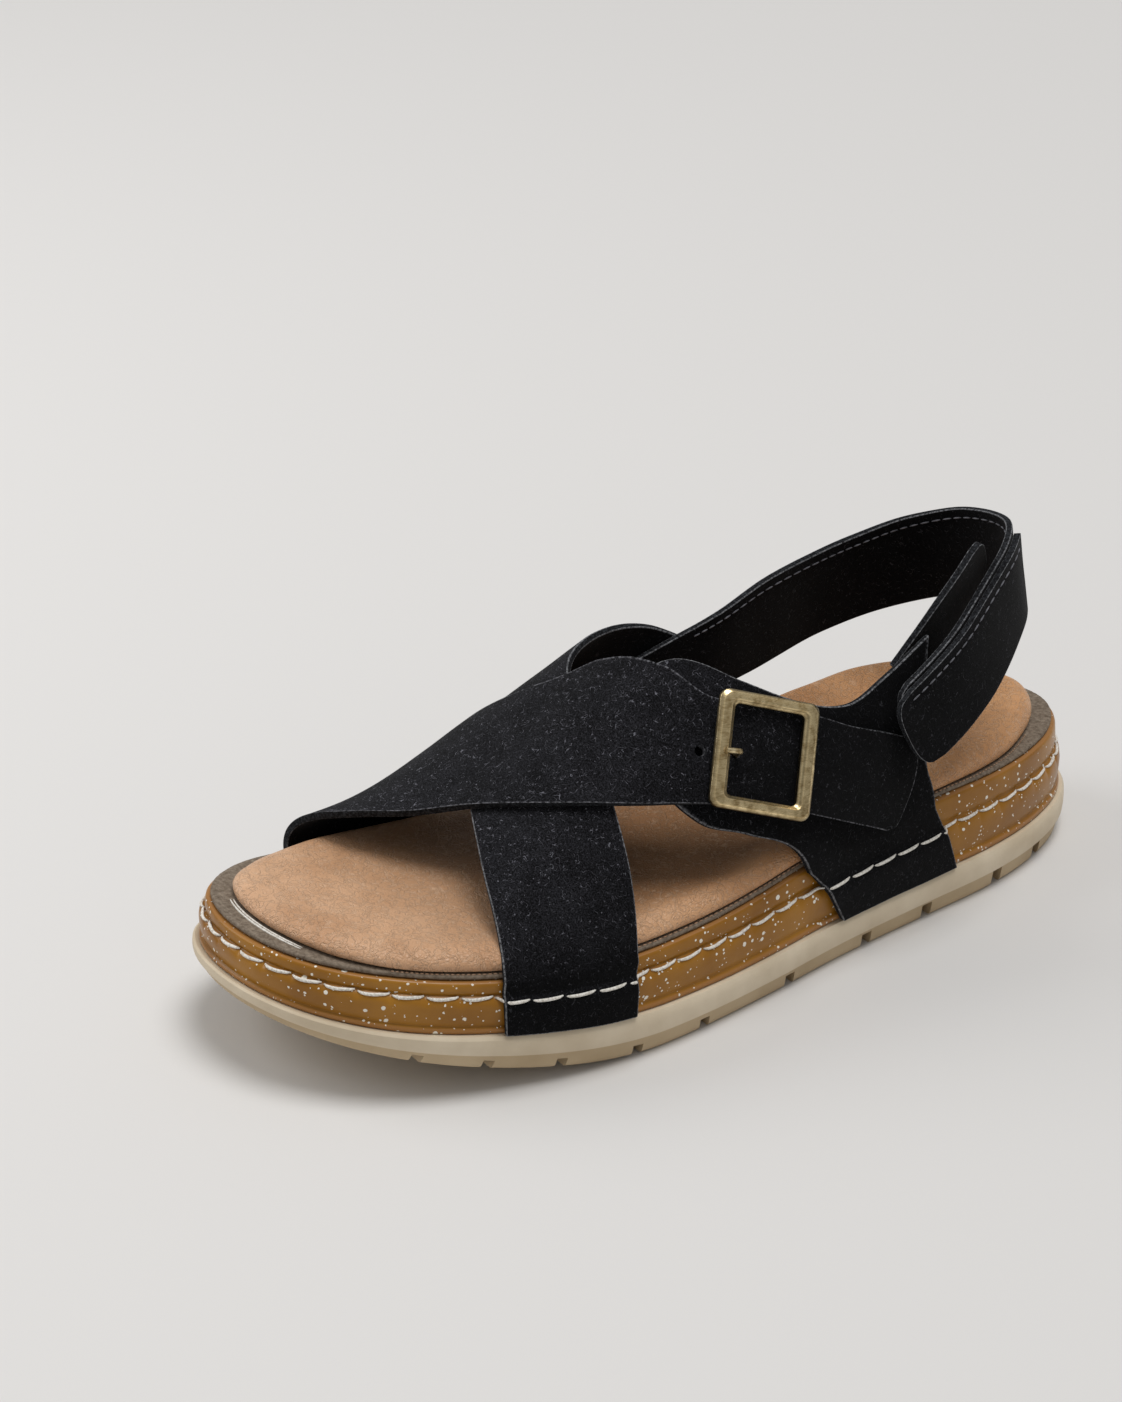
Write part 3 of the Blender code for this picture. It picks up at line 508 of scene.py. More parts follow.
def lay_board(across, up):
    draw, inset, height = row_of(BOARD_SIDE, up)
    ragged = RAGGED_EDGE * noise.noise(Vector((RAGGED_WAVES * across, 0, 0)))
    flat = drawn_point(2 * pi * across, MIDSOLE_STEP + BOARD_STEP + inset * 0.001 + ragged, draw)
    return Vector((*flat, midsole_top(station_of(flat)) + SEAT_GAP + height * BOARD_THICKNESS))


board, tree, place = new_material("pressed_board", 0.95, 0.15)
fibre = cloudy(tree, place, 900, 6, Roughness=0.7)
felt = ramp(tree, fibre, (0.32, (0.105, 0.078, 0.055)), (0.7, (0.3, 0.245, 0.19)))
surface(tree, felt, fibre, 0.6, 0.0003)
board_mesh = lay("rim_board_felt", SOLE_CELLS, len(BOARD_SIDE) - 1, lay_board)
add_piece("rim_board_felt", board_mesh, [board], "rim_board")

# Footbed: padded tan leather with a rolled edge, a raised arch and a heel cup. It is
# darker where the foot and the straps rub it and, as painted shadow, under the straps; it is finely
# creased at its edge.
FOOTBED_HEIGHT = 0.0062
FOOTBED_MARGIN = 0.0085
FOOTBED_EDGE = {
    "station": (0, 0.05, 0.1, 0.16, 0.3, 0.4, 0.72, 0.85, 0.93, 1),
    "outer": (0.68, 0.38, 0.17, 0.17, 0.18, 0.16, 0.13, 0.3, 0.64, 0.88),
    "inner": (0.8, 0.86, 0.78, 0.45, 0.26, 0.24, 0.26, 0.42, 0.74, 0.88),
}
FOOTBED_CROWN = {
    "station": (0, 0.12, 0.3, 0.48, 0.62, 0.78, 0.92, 1),
    "outer": (0.72, 0.78, 0.8, 0.86, 1, 1.1, 1.15, 1.15),
    "inner": (0.72, 0.8, 0.95, 1.45, 1.7, 1.45, 1.2, 1.15),
    "middle": (0.7, 0.76, 0.66, 0.7, 0.62, 0.42, 0.4, 0.55),
}
# Rolled edge: share of the crown and inset, then the bed: share drawn and share fallen
FOOTBED_ROLL = ((0, 0.0008), (0.05, 0.0003), (0.14, -0.0001), (0.26, -0.0003), (0.4, -0.0003),
                (0.53, 0), (0.65, 0.0005), (0.76, 0.0011), (0.85, 0.0018), (0.92, 0.0026),
                (0.97, 0.0034), (1, 0.0044))
FOOTBED_BED = ((0.04, 0.03), (0.08, 0.09), (0.12, 0.15), (0.16, 0.22), (0.22, 0.31), (0.29, 0.42),
               (0.37, 0.54), (0.45, 0.65), (0.55, 0.77), (0.65, 0.87), (0.75, 0.94), (0.87, 0.98),
               (1, 1))
# How soon the edge changes from the outer to the inner side, and the leather's soft swell
SIDE_CHANGE = 2.3
SWELL = 0.00035
SWELL_WAVES = 60
# The pressed line that follows the toe a finger's width inside the edge
TOE_LINE_DEPTH = 0.001
TOE_LINE_PLACE = 0.36
TOE_LINE_WIDTH = 0.055
TOE_LINE_END = 0.34


def footbed_margin(angle):
    inner, outer = (blend(FOOTBED_EDGE, side, station_at(angle)) for side in ("inner", "outer"))
    weight = (1 + clamp(SIDE_CHANGE * sin(angle), -1)) / 2
    return MIDSOLE_STEP + FOOTBED_MARGIN * between((inner, outer), weight)


def footbed_crown(station, angle, toward_middle):
    weight = (1 + sin(angle)) / 2
    weight = weight * weight * (3 - 2 * weight)
    inner, outer, middle = (blend(FOOTBED_CROWN, part, station) for part in ("inner", "outer", "middle"))
    return FOOTBED_HEIGHT * between((between((inner, outer), weight), middle), toward_middle)


def lay_footbed(across, up):
    angle = 2 * pi * across
    rolled = len(FOOTBED_ROLL)
    row = round(up * (rolled + len(FOOTBED_BED)))
    share, inset = FOOTBED_ROLL[clamp(row, 1, rolled) - 1] if row else (0, 0)
    draw, fall = FOOTBED_BED[row - rolled - 1] if row > rolled else (0, 0)
    flat = drawn_point(angle, footbed_margin(angle) + inset, draw if row else 1)
    spot = station_of(flat)
    base = midsole_top(spot) + 2 * SEAT_GAP + BOARD_THICKNESS
    soft = SWELL * noise.noise(Vector((flat.x, flat.y, 0)) * SWELL_WAVES) * min(share, 1)
    if row:
        soft -= (TOE_LINE_DEPTH * hump(fall, TOE_LINE_PLACE, TOE_LINE_WIDTH)
                 * max(0, 1 - spot / TOE_LINE_END))
    return Vector((*flat, base + share * footbed_crown(spot, angle, fall) + soft))


def ranged(tree, value, low, high, to_low=0, to_high=1):
    """Value stretched from one range to another, and held at its ends."""
    return add_node(tree, "MapRange", {"Value": value, "From Min": low, "From Max": high,
                                       "To Min": to_low, "To Max": to_high})[0]


grain, given, out = new_group("Leather grain", {"Vector": None, "Scale": 900, "Crease Scale": 200,
                                                "Crease": 0.5}, ["Height", "Hairline"])
pores = add_node(grain, "TexVoronoi", {"Vector": given["Vector"], "Scale": given["Scale"]},
                 feature="DISTANCE_TO_EDGE")["Distance"]
bend = cloudy(grain, given["Vector"], given["Crease Scale"], 3, Distortion=1.4)
line = maths(grain, "ABSOLUTE", maths(grain, "SUBTRACT", bend, 0.5))
thin = maths(grain, "MULTIPLY", line, 22, True)
mixed = add_node(grain, "Mix", {"Factor": given["Crease"], "A": maths(grain, "MULTIPLY", pores, 4, True),
                                "B": thin})
grain.links.new(mixed["Result"], out["Height"])
grain.links.new(maths(grain, "SUBTRACT", 1, thin), out["Hairline"])

tan, tree, place = new_material("tan_leather", 0.42, 0.4)
cloud = cloudy(tree, place, 38, 6, Roughness=0.62)
hide = ramp(tree, cloud, (0.3, (0.5, 0.27, 0.14)), (0.7, (0.73, 0.45, 0.27)))
along = add_node(tree, "SeparateXYZ", {"Vector": place})["Y"]
toned = mix(tree, ranged(tree, along, -0.07, 0.02), hide, (0.93, 0.8, 0.6, 1), "MULTIPLY")
# rubbed dark and smooth from the ball of the foot to the arch, and painted darker there as shadow under
# the straps
row = sheet_axes(tree)["Y"]
worn = maths(tree, "MULTIPLY", ranged(tree, along, -0.095, -0.055), ranged(tree, along, 0.075, 0.035))
wear_and_painted_shading = maths(tree, "MULTIPLY", worn, ranged(tree, row, 0.44, 0.66))
patchy_wear_and_shadow = maths(tree, "MULTIPLY", wear_and_painted_shading, maths(tree, "MULTIPLY", cloud, 1.35, True))
# this dark tone is partly wear and partly painted shadow under the straps
dark = mix(tree, patchy_wear_and_shadow, toned, (0.2, 0.085, 0.026, 1))
skin = add_node(tree, "Group", {"Vector": place, "Scale": 1100, "Crease Scale": 330, "Crease": 0.7},
                node_tree=grain)
lined = mix(tree, maths(tree, "MULTIPLY", skin["Hairline"], 0.34), dark, (0.8, 0.56, 0.38, 1))
# the rolled edge is polished, the bed duller
polish = ranged(tree, row, 0.1, 0.62, 0.3, 0.52)
surface(tree, lined, skin["Height"], 0.75, 0.0004, polish)
footbed_mesh = lay("footbed_leather", SOLE_CELLS, len(FOOTBED_ROLL) + len(FOOTBED_BED), lay_footbed)
footbed = add_piece("footbed_leather", footbed_mesh, [tan], "footbed")

# Crossed straps: black nubuck 1.8 mm thick with raw cut edges. Strap A runs from the outer
# side back to the instep, and strap B crosses over it and ends as the buckled tail.
INSTEP = 0.071
LEATHER = 0.0018
WALL_SHARE = 0.2
STRAP_B_ROUND = 0.045
END_CURVE = 2.4
BUCKLE_WIDTH = 0.0262
BUCKLE_RAIL = 0.0036
BUCKLE_ROW = 0.762
BUCKLE_REACH = 0.15
PRONG_HOLE = 0.0026
LAP_SIDE = {
    "height": (0, 0.5, 0.66, 0.8, 1),
    "inset": (0.06, 0.08, 0.52, 0.62, 0.66),
}
LAST = {
    "station": (0.05, 0.2, 0.35, 0.5, 0.65, 0.85),
    "crest": (0.16, 0.25, 0.5, 0.785, 0.985, 1.2),
    "shift": (0.07, 0.1, 0.155, 0.15, 0.07, 0),
    "fullness": (1.8, 1.9, 2.2, 2.4, 2.4, 2.4),
}
STRAP_A = {
    "row": (0, 0.1, 0.16, 0.28, 0.42, 0.56, 0.7, 0.82, 0.91, 1),
    "front_station": (0.189, 0.19, 0.2, 0.224, 0.258, 0.296, 0.343, 0.405, 0.47, 0.545),
    "front_turn": (-0.2, 0, 0.12, 0.28, 0.43, 0.57, 0.71, 0.84, 0.95, 1.2),
    "rear_station": (0.32, 0.326, 0.343, 0.364, 0.392, 0.421, 0.471, 0.56, 0.64, 0.735),
    "rear_turn": (-0.2, 0, 0.12, 0.267, 0.44, 0.56, 0.67, 0.8, 0.93, 1.2),
}
STRAP_B = {
    "row": (0, 0.09, 0.18, 0.27, 0.37, 0.47, 0.58, 0.68, 0.84, 0.96, 1),
    "front_station": (0.145, 0.145, 0.152, 0.172, 0.215, 0.258, 0.321, 0.4, 0.54, 0.65, 0.677),
    "front_turn": (1.2, 1, 0.85, 0.67, 0.53, 0.44, 0.325, 0.21, 0.07, 0.004, 0.012),
    "rear_station": (0.312, 0.314, 0.324, 0.345, 0.398, 0.446, 0.47, 0.492, 0.6, 0.683, 0.699),
    "rear_turn": (1.2, 1, 0.86, 0.71, 0.56, 0.49, 0.4, 0.285, 0.15, 0.085, 0.07),
}
STRAP_B_LIFT = {
    "row": (0, 0.12, 0.3, 0.41, 0.48, 0.6, 0.69, 0.765, 0.87, 1),
    "lift": (0, 0.15, 0.7, 0.78, 1.22, 1.4, 1.95, 2.2, 1.8, 1.35),
}

LEATHER_EDGE = 0.00032
LEATHER_SWELL = 0.00012
LEATHER_WAVES = 90
noise.seed_set(1)


def straight(rows, values, spot):
    """Value between the rows of a table, by straight steps."""
    k = max(k for k in range(len(rows) - 1) if rows[k] <= clamp(spot, rows[0], rows[-1]))
    return between(values[k:k + 2], (spot - rows[k]) / (rows[k + 1] - rows[k]))


def lap_inset(height):
    """Inset of the leather's inner face on the midsole wall, in metres."""
    return MIDSOLE_STEP * straight(LAP_SIDE["height"], LAP_SIDE["inset"], height)


def wrap(station, turn):
    """Point of the leather's inner face on the last, or down the midsole wall."""
    angle = 2 * asin(sqrt(station))
    if turn < 0 or turn > 1:
        side = 1 if turn < 0 else -1
        height = 1 - (-turn if turn < 0 else turn - 1) / WALL_SHARE
        flat = inset_point(side * angle, lap_inset(height))
        return Vector((*flat, wall_height(station_of(flat), height)))
    outer, inner = (inset_point(side, lap_inset(1)) for side in (angle, -angle))
    swing = cos(pi * turn)
    power = 2 / blend(LAST, "fullness", station)
    reach = abs(swing) ** power * (1 if swing > 0 else -1)
    rise = abs(sin(pi * turn)) ** power
    flat = (outer + inner) / 2 + (outer - inner) / 2 * reach
    base_out = midsole_top(station_of(outer))
    base_in = midsole_top(station_of(inner))
    base = (base_out + base_in) / 2 + (base_out - base_in) / 2 * reach
    crest = INSTEP * blend(LAST, "crest", station)
    shift = BALL_WIDTH * blend(LAST, "shift", station)
    return Vector((flat.x - shift * rise, flat.y, base + crest * rise))


def wrap_lifted(station, turn, lift):
    step = 0.004
    high = min(turn + step, 1 + WALL_SHARE)
    low = max(turn - step, -WALL_SHARE)
    around = wrap(station, high) - wrap(station, low)
    along = wrap(station + step, turn) - wrap(station - step, turn)
    return wrap(station, turn) + lift * along.cross(around).normalized()


def rounded(row, strip, share):
    """Row pulled back near the edges, so that a strap's end is round."""
    side = min(1, abs(2 * strip - 1))
    return row * (1 - share * (1 - (1 - side**END_CURVE) ** (1 / END_CURVE)))


def cut_pattern(table, top=None, lift=None, end_round=0):
    """Function that lays a piece cut between its front and rear edge on the last."""
    def place(row, strip):
        row = rounded(row, strip, end_round)
        spot = []
        for axis in ("station", "turn"):
            value = between([blend(table, side + axis, row, "row") for side in ("front_", "rear_")], strip)
            if top:
                straight_top = between((top[axis][0], top[axis][-1]), strip)
                value += row**2 * (blend(top, axis, strip, "row") - straight_top)
            spot.append(value)
        return wrap_lifted(spot[0], spot[1], lift(row) if lift else 0)
    return place


fibres, given, out = new_group(
    "Nap fibres", {"Vector": None, "Scale": 700, "Width": 0.02, "Rarity": 0.6}, ["Mask"])
flow = cloudy(fibres, given["Vector"], given["Scale"], 0.5, Distortion=1.2)
line = maths(fibres, "ABSOLUTE", maths(fibres, "SUBTRACT", flow, 0.5))
sharp = maths(fibres, "MULTIPLY", maths(fibres, "SUBTRACT", given["Width"], line), 90, True)
patch = maths(fibres, "SUBTRACT", cloudy(fibres, given["Vector"], 800, 1), given["Rarity"])
short = maths(fibres, "MULTIPLY", patch, 12, True)
fibres.links.new(maths(fibres, "MULTIPLY", sharp, short), out["Mask"])

# the nubuck has a dull nap with short pale fibres caught in it and a dusty mottle over it,
# and a painted shade makes it darker where it stands upright
nubuck, tree, place = new_material("black_nubuck", 0.95, 0.05, Sheen_Weight=0.05, Sheen_Roughness=0.5)
facing = add_node(tree, "SeparateXYZ", {"Vector": add_node(tree, "NewGeometry", {})["Normal"]})["Z"]
nap = cloudy(tree, place, 2800, 2.5, Roughness=0.9)
dusty = ranged(tree, cloudy(tree, place, 130, 3), 0.3, 0.7, 0.95, 1.06)
base = ramp(tree, maths(tree, "MULTIPLY", nap, dusty),
            (0.43, (0.0014, 0.0014, 0.0016)), (0.66, (0.034, 0.034, 0.04)))
fine = add_node(tree, "Group", {"Vector": place, "Scale": 480, "Width": 0.016, "Rarity": 0.49},
                node_tree=fibres)["Mask"]
pale = maths(tree, "MAXIMUM", fine, fleck_mask(tree, place, 900, 0.2, 6))
mixed = mix(tree, maths(tree, "MULTIPLY", pale, 0.85), base, (0.19, 0.19, 0.22, 1))
# painted shade: faces that stand upright are darker, faces that look up lighter
painted_upright_shade = mix(tree, ranged(tree, facing, 0.3, 0.92, 0.2, 1), (0.0008, 0.0008, 0.0009, 1), mixed)
# pale fibres stand up along the cut edges
strip = sheet_axes(tree)
inside = maths(tree, "MINIMUM", strip["Y"], maths(tree, "SUBTRACT", 1, strip["Y"]))
cut = maths(tree, "MAXIMUM", ranged(tree, inside, 0.013, 0.004), ranged(tree, strip["X"], 0.9965, 0.999))
broken = ranged(tree, cloudy(tree, place, 1300, 3), 0.4, 0.62, 0, 0.75)
edged = mix(tree, maths(tree, "MULTIPLY", cut, broken), painted_upright_shade, (0.2, 0.2, 0.22, 1))
surface(tree, edged, maths(tree, "ADD", nap, pale), 0.55, 0.0002)


def edge_material(name, dark, light):
    """Raw edge of the hide: dark flesh with pale broken fibres."""
    material, tree, place = new_material(name, 0.95, 0.15)
    rough = cloudy(tree, place, 1500, 5, Roughness=0.75)
    surface(tree, ramp(tree, rough, dark, light), rough, 0.9, 0.0003)
    return material


cut_edge = edge_material("raw_cut_edge", (0.46, (0.005, 0.005, 0.006)), (0.72, (0.055, 0.06, 0.068)))
frayed_edge = edge_material("frayed_edge", (0.38, (0.012, 0.012, 0.014)), (0.66, (0.28, 0.285, 0.3)))


def leather_piece(name, place, cells, strips, flip, stands_for=None, holes=None):
    """Nubuck sheet laid in place, given its thickness outward, with raw cut edges."""
    def soft_place(row, strip):
        point = place(row, strip)
        return point + LEATHER_SWELL * noise.noise_vector(point * LEATHER_WAVES)

    mesh = lay(name, cells, strips, soft_place, closed=False, flip=flip)
    piece = add_piece(name, mesh, [nubuck, cut_edge, frayed_edge], stands_for)
    wall = piece.modifiers.new("leather", "SOLIDIFY")
    wall.thickness = LEATHER
    wall.offset = 1
    wall.material_offset_rim = 1
    round_edges(piece, LEATHER_EDGE, 45, 2)
    if holes:
        cut_away(piece, holes)


place_strap_b = cut_pattern(STRAP_B, lift=lambda row: LEATHER * blend(STRAP_B_LIFT, "lift", row, "row"),
                            end_round=STRAP_B_ROUND)


# the buckle's own axes: X toward the strap's tip, Y across the strap, Z outward
along = place_strap_b(BUCKLE_ROW + 0.06, 0.5) - place_strap_b(BUCKLE_ROW - 0.06, 0.5)
along.normalize()
across = place_strap_b(BUCKLE_ROW, 1) - place_strap_b(BUCKLE_ROW, 0)
across = (across - across.dot(along) * along).normalized()
turn = Matrix((along, across, along.cross(across))).transposed().to_4x4()
buckle_axes = Matrix.Translation(place_strap_b(BUCKLE_ROW, 0.5)) @ turn
prong_hole_x = -(BUCKLE_WIDTH / 2 - BUCKLE_RAIL - PRONG_HOLE)
leather_piece("strap_a", cut_pattern(STRAP_A), 170, 44, True, "cross_straps")
strap_holes = bmesh.new()
for spot in (prong_hole_x, -BUCKLE_WIDTH / 2 - PRONG_HOLE):
    bmesh.ops.create_cone(strap_holes, cap_ends=True, segments=24, radius1=PRONG_HOLE / 2,
                          radius2=PRONG_HOLE / 2, depth=6 * LEATHER,
                          matrix=buckle_axes @ Matrix.Translation((spot, 0, 0)))
leather_piece("strap_b", place_strap_b, 190, 44, False, holes=strap_holes)

# Outer quarter: one nubuck panel. It laps the outer wall, its forward arm goes under the
# buckled tail, and its rear arm rises to the heel strap.
QUARTER = {
    "row": (0, 0.12, 0.24, 0.4, 0.6, 0.8, 1),
    "front_station": (0.594, 0.565, 0.54, 0.481, 0.43, 0.408, 0.43),
    "front_turn": (-0.2, -0.06, 0.018, 0.081, 0.15, 0.27, 0.45),
    "rear_station": (0.757, 0.742, 0.727, 0.714, 0.712, 0.72, 0.728),
    "rear_turn": (-0.2, -0.09, 0, 0.04, 0.09, 0.145, 0.187),
}
QUARTER_TOP = {
    "row": (0, 0.15, 0.32, 0.5, 0.68, 0.85, 1),
    "station": (0.43, 0.48, 0.52, 0.565, 0.62, 0.672, 0.728),
    "turn": (0.45, 0.412, 0.292, 0.207, 0.16, 0.168, 0.187),
}
leather_piece("quarter_panel", cut_pattern(QUARTER, top=QUARTER_TOP), 90, 70, True, "lateral_quarter")

# Heel strap, its tab and the ear: the heel strap runs from under strap A's inner end round
# the heel. The tab closes on its outer side, and the ear is sewn inside the quarter's arm.
HEEL_STRAP_WIDTH = 0.0245
TAB_WIDTH = 0.023
EAR_WIDTH = 0.019
TAB_START = 0.66
HEEL_STRAP_END = 0.98
HEEL_STRAP_ROUND = 0.03
TAB_ROUND = 0.13
EAR_ROUND = 0.16
HEEL_STRAP = {
    "across": (-0.32, -0.352, -0.322, -0.227, -0.068, 0.098, 0.223, 0.303, 0.363, 0.393, 0.408),
    "station": (0.69, 0.765, 0.825, 0.872, 0.897, 0.892, 0.857, 0.812, 0.765, 0.718, 0.668),
    "height": (0.891, 0.921, 0.969, 1.039, 1.114, 1.157, 1.162, 1.092, 0.992, 0.899, 0.814),
    "lean": (6, 8, 10, 10, 6, 6, 10, 12, 12, 11, 10),
    "width": (1.1, 1.1, 1.09, 1.07, 1.03, 0.98, 0.96, 0.96, 0.96, 0.96, 0.96),
}
HEEL_STRAP_START = {
    "station": (0.53, 0.58, 0.625),
    "low_turn": (0.95, 0.945, 0.935),
    "high_turn": (0.825, 0.818, 0.812),
}
EAR = {
    "across": (0.268, 0.278, 0.273, 0.258, 0.236),
    "station": (0.706, 0.736, 0.763, 0.793, 0.821),
    "height": (0.955, 1.052, 1.137, 1.232, 1.315),
    "lean": (12, 12, 14, 16, 16),
    "width": (0.45, 0.66, 0.88, 1, 1),
}


def free_edges(table, width):
    """Lower and upper edge points of a band that stands free round the heel."""
    middle = []
    for across, station, height in zip(table["across"], table["station"], table["height"]):
        middle.append(Vector((across * BALL_WIDTH, (station - 0.5) * LENGTH, height * INSTEP)))
    edges = []
    for k, point in enumerate(middle):
        along = middle[min(k + 1, len(middle) - 1)] - middle[max(k - 1, 0)]
        along.normalize()
        up = Vector((0, 0, 1))
        up = (up - up.dot(along) * along).normalized()
        up = Matrix.Rotation(radians(table["lean"][k]), 3, along) @ up
        half = table["width"][k] * width / 2
        edges.append((point - up * half, point + up * half))
    return edges


def band_place(edges, lift, start=0, end=1, grow=0, end_round=0):
    """Function that lays a band through pairs of edge points, at a lift outward."""
    count = len(edges) - 1

    def edge_point(share, side):
        spot = clamp(share) * count
        k = min(int(spot), count - 1)
        t = spot - k
        a, b, c, d = (edges[clamp(k + j, 0, count)][side] for j in (-1, 0, 1, 2))
        return 0.5 * (2 * b + (c - a) * t + (2 * a - 5 * b + 4 * c - d) * t**2
                      + (3 * b - a - 3 * c + d) * t**3)

    def place(row, strip):
        row = between((start, end), rounded(row, strip, end_round))
        low, high = edge_point(row, 0), edge_point(row, 1)
        up = (high - low).normalized()
        step = 0.01
        along = edge_point(row + step, 0) + edge_point(row + step, 1)
        along -= edge_point(row - step, 0) + edge_point(row - step, 1)
        out = up.cross(along.normalized())
        return between((low, high), strip) + (2 * strip - 1) * grow * up + lift * out
    return place


heel_edges = []
under_strap = -(LEATHER + 2 * SEAT_GAP)
for station, *turns in zip(*(HEEL_STRAP_START[key] for key in ("station", "low_turn", "high_turn"))):
    heel_edges.append([wrap_lifted(station, turn, under_strap) for turn in turns])
heel_edges += free_edges(HEEL_STRAP, HEEL_STRAP_WIDTH)
heel_place = band_place(heel_edges, 0, 0, HEEL_STRAP_END, end_round=HEEL_STRAP_ROUND)
leather_piece("heel_strap_band", heel_place, 220, 24, True, "heel_strap")
tab_place = band_place(heel_edges, LEATHER + SEAT_GAP, TAB_START, 1,
                       (TAB_WIDTH - HEEL_STRAP_WIDTH) / 2, TAB_ROUND)
leather_piece("heel_tab_piece", tab_place, 90, 24, True, "heel_tab")
ear_place = band_place(free_edges(EAR, EAR_WIDTH), 0, end_round=EAR_ROUND)
leather_piece("ear_piece", ear_place, 44, 20, True, "quarter_ear")

# Welt seam: thick waxed white thread in the midsole's groove, all round the shoe and over
# the ends of the straps. Each stitch sags and rises to its rear end.
THREAD_RADIUS = 0.00042
STITCH_POINTS = 9
STITCH_SHARE = 0.92
STITCH_SAG = 0.00024
STITCH_TILT = 0.00034
STITCH_SINK = 0.0005
STITCH_JITTER = 0.03
# The thread lies this far out of the wall, and no deeper than a share of the step
THREAD_PROUD = 0.00028
THREAD_LIMIT = 0.62
LAP_STEP = 0.0016


def lap_share(angle):
    """How far the seam is over leather here: 1 on a strap's end and 0 on bare foam."""
    angle = (angle + pi) % (2 * pi) - pi
    station = station_at(angle)
    depth = (1 - SHOULDER) * WALL_SHARE
    aim = -depth if angle > 0 else 1 + depth
    share = 0
    for table in ((STRAP_A, QUARTER) if angle > 0 else (STRAP_A, STRAP_B)):
        turns = table["front_turn"]
        k = next(k for k in range(len(turns) - 1)
                 if min(turns[k:k + 2]) <= aim <= max(turns[k:k + 2]))
        row = between(table["row"][k:k + 2], (aim - turns[k]) / (turns[k + 1] - turns[k]))
        front, rear = (blend(table, side, row, "row") for side in ("front_station", "rear_station"))
        inside = min(station - front, rear - station) * LENGTH
        share = max(share, clamp(0.5 + inside / LAP_STEP))
    return share


def wall_inset(height):
    """Inset of the foam's wall at a share of its height, in metres."""
    _, insets, heights = zip(*MIDSOLE_SIDE[3:-2])
    return MIDSOLE_STEP * straight(heights, insets, height)


def seam_point(phase, sag, sink):
    """Point of the welt seam's thread: stitches from the toe, drop and sink in metres."""
    low, high = 0, 2 * pi
    for _ in range(24):
        middle = (low + high) / 2
        if stitch_phase(middle) < phase:
            low = middle
        else:
            high = middle
    over = lap_share(low)
    station = station_of(outline_point(low))
    wall = midsole_top(station) - outsole_top(station)
    on_foam = min(wall_inset(SHOULDER - sag / wall), THREAD_LIMIT * MIDSOLE_STEP)
    on_leather = lap_inset(SHOULDER) - LEATHER * 1.02
    inset = between((on_foam, on_leather), over) - THREAD_PROUD + sink * (1 - 0.3 * over)
    flat = inset_point(low, inset)
    return Vector((*flat, wall_height(station_of(flat), SHOULDER) - sag))


def round_path(name, radius, sides):
    path = bpy.data.curves.new(name, "CURVE")
    path.dimensions = "3D"
    path.bevel_depth = radius
    path.bevel_resolution = sides
    path.use_fill_caps = True
    return path


def mesh_of_path(name, path):
    """Closed mesh of a round path, with the points of its ends welded."""
    guide = as_object(name + "_path", path)
    made = plain_mesh(guide)
    bpy.data.objects.remove(guide)
    shape = bmesh.new()
    shape.from_mesh(made)
    weld(shape)
    shape.to_mesh(made)
    shape.free()
    made.name = name
    made.shade_smooth()
    return made


def add_thread(name, stitches, radius, material, sides=1):
    """Many short round stitches as one mesh, each tapered to its two ends."""
    path = round_path(name, radius, sides)
    for points in stitches:
        line = path.splines.new("POLY")
        line.points.add(len(points) - 1)
        for k, (node, point) in enumerate(zip(line.points, points)):
            node.co = (*point, 1)
            share = k / (len(points) - 1)
            node.radius = 0.5 + 0.5 * (1 - abs(2 * share - 1) ** 4)
    return add_piece(name, mesh_of_path(name, path), [material])


white_thread, tree, place = new_material("waxed_white_thread", 0.55, 0.4)
strand = cloudy(tree, place, 1800, 3)
wax = ramp(tree, strand, (0.3, (0.5, 0.46, 0.4)), (0.6, (0.86, 0.83, 0.77)))
surface(tree, wax, strand, 0.5, 0.0002)

welt = []
for stitch in range(STITCH_COUNT):
    start = stitch + (1 - STITCH_SHARE) / 2
    start += STITCH_JITTER * noise.noise(Vector((stitch * 1.7, 3, 0)))
    points = []
    for k in range(STITCH_POINTS):
        share = k / (STITCH_POINTS - 1)
        toward_heel = share if stitch < STITCH_COUNT / 2 else 1 - share
        sag = STITCH_SAG * sin(pi * share) - STITCH_TILT * (toward_heel - 0.4)
        sink = STITCH_SINK * abs(2 * share - 1) ** 6
        points.append(seam_point(start + STITCH_SHARE * share, sag, sink))
    welt.append(points)
add_thread("welt_stitches", welt, THREAD_RADIUS, white_thread, sides=2)

# Bed seam: small brown stitches between the rim board and the footbed, and at the toe two
# turns of white thread laid along the footbed's edge.
BED_PITCH = 0.0017
BED_RADIUS = 0.00019
BED_OUT = 0.0005
BED_CLEAR = 0.0004
# Angles round the sole, from the toe: where the brown row starts and how far it runs
BED_START = 0.62
BED_RUN = 0.62 * pi
TOE_ANGLES = (-0.14, 0.32)
TOE_TURNS = (0.0007, 0.0015)
TOE_RADIUS = 0.00028
TOE_POINTS = 40


def bed_seam_point(angle, out):
    """Point on the rim board, a little outside the footbed's edge."""
    flat = inset_point(angle, max(footbed_margin(angle) - out, MIDSOLE_STEP + BOARD_STEP + BED_CLEAR))
    return Vector((*flat, midsole_top(station_of(flat)) + SEAT_GAP + BOARD_THICKNESS + 0.5 * BED_RADIUS))


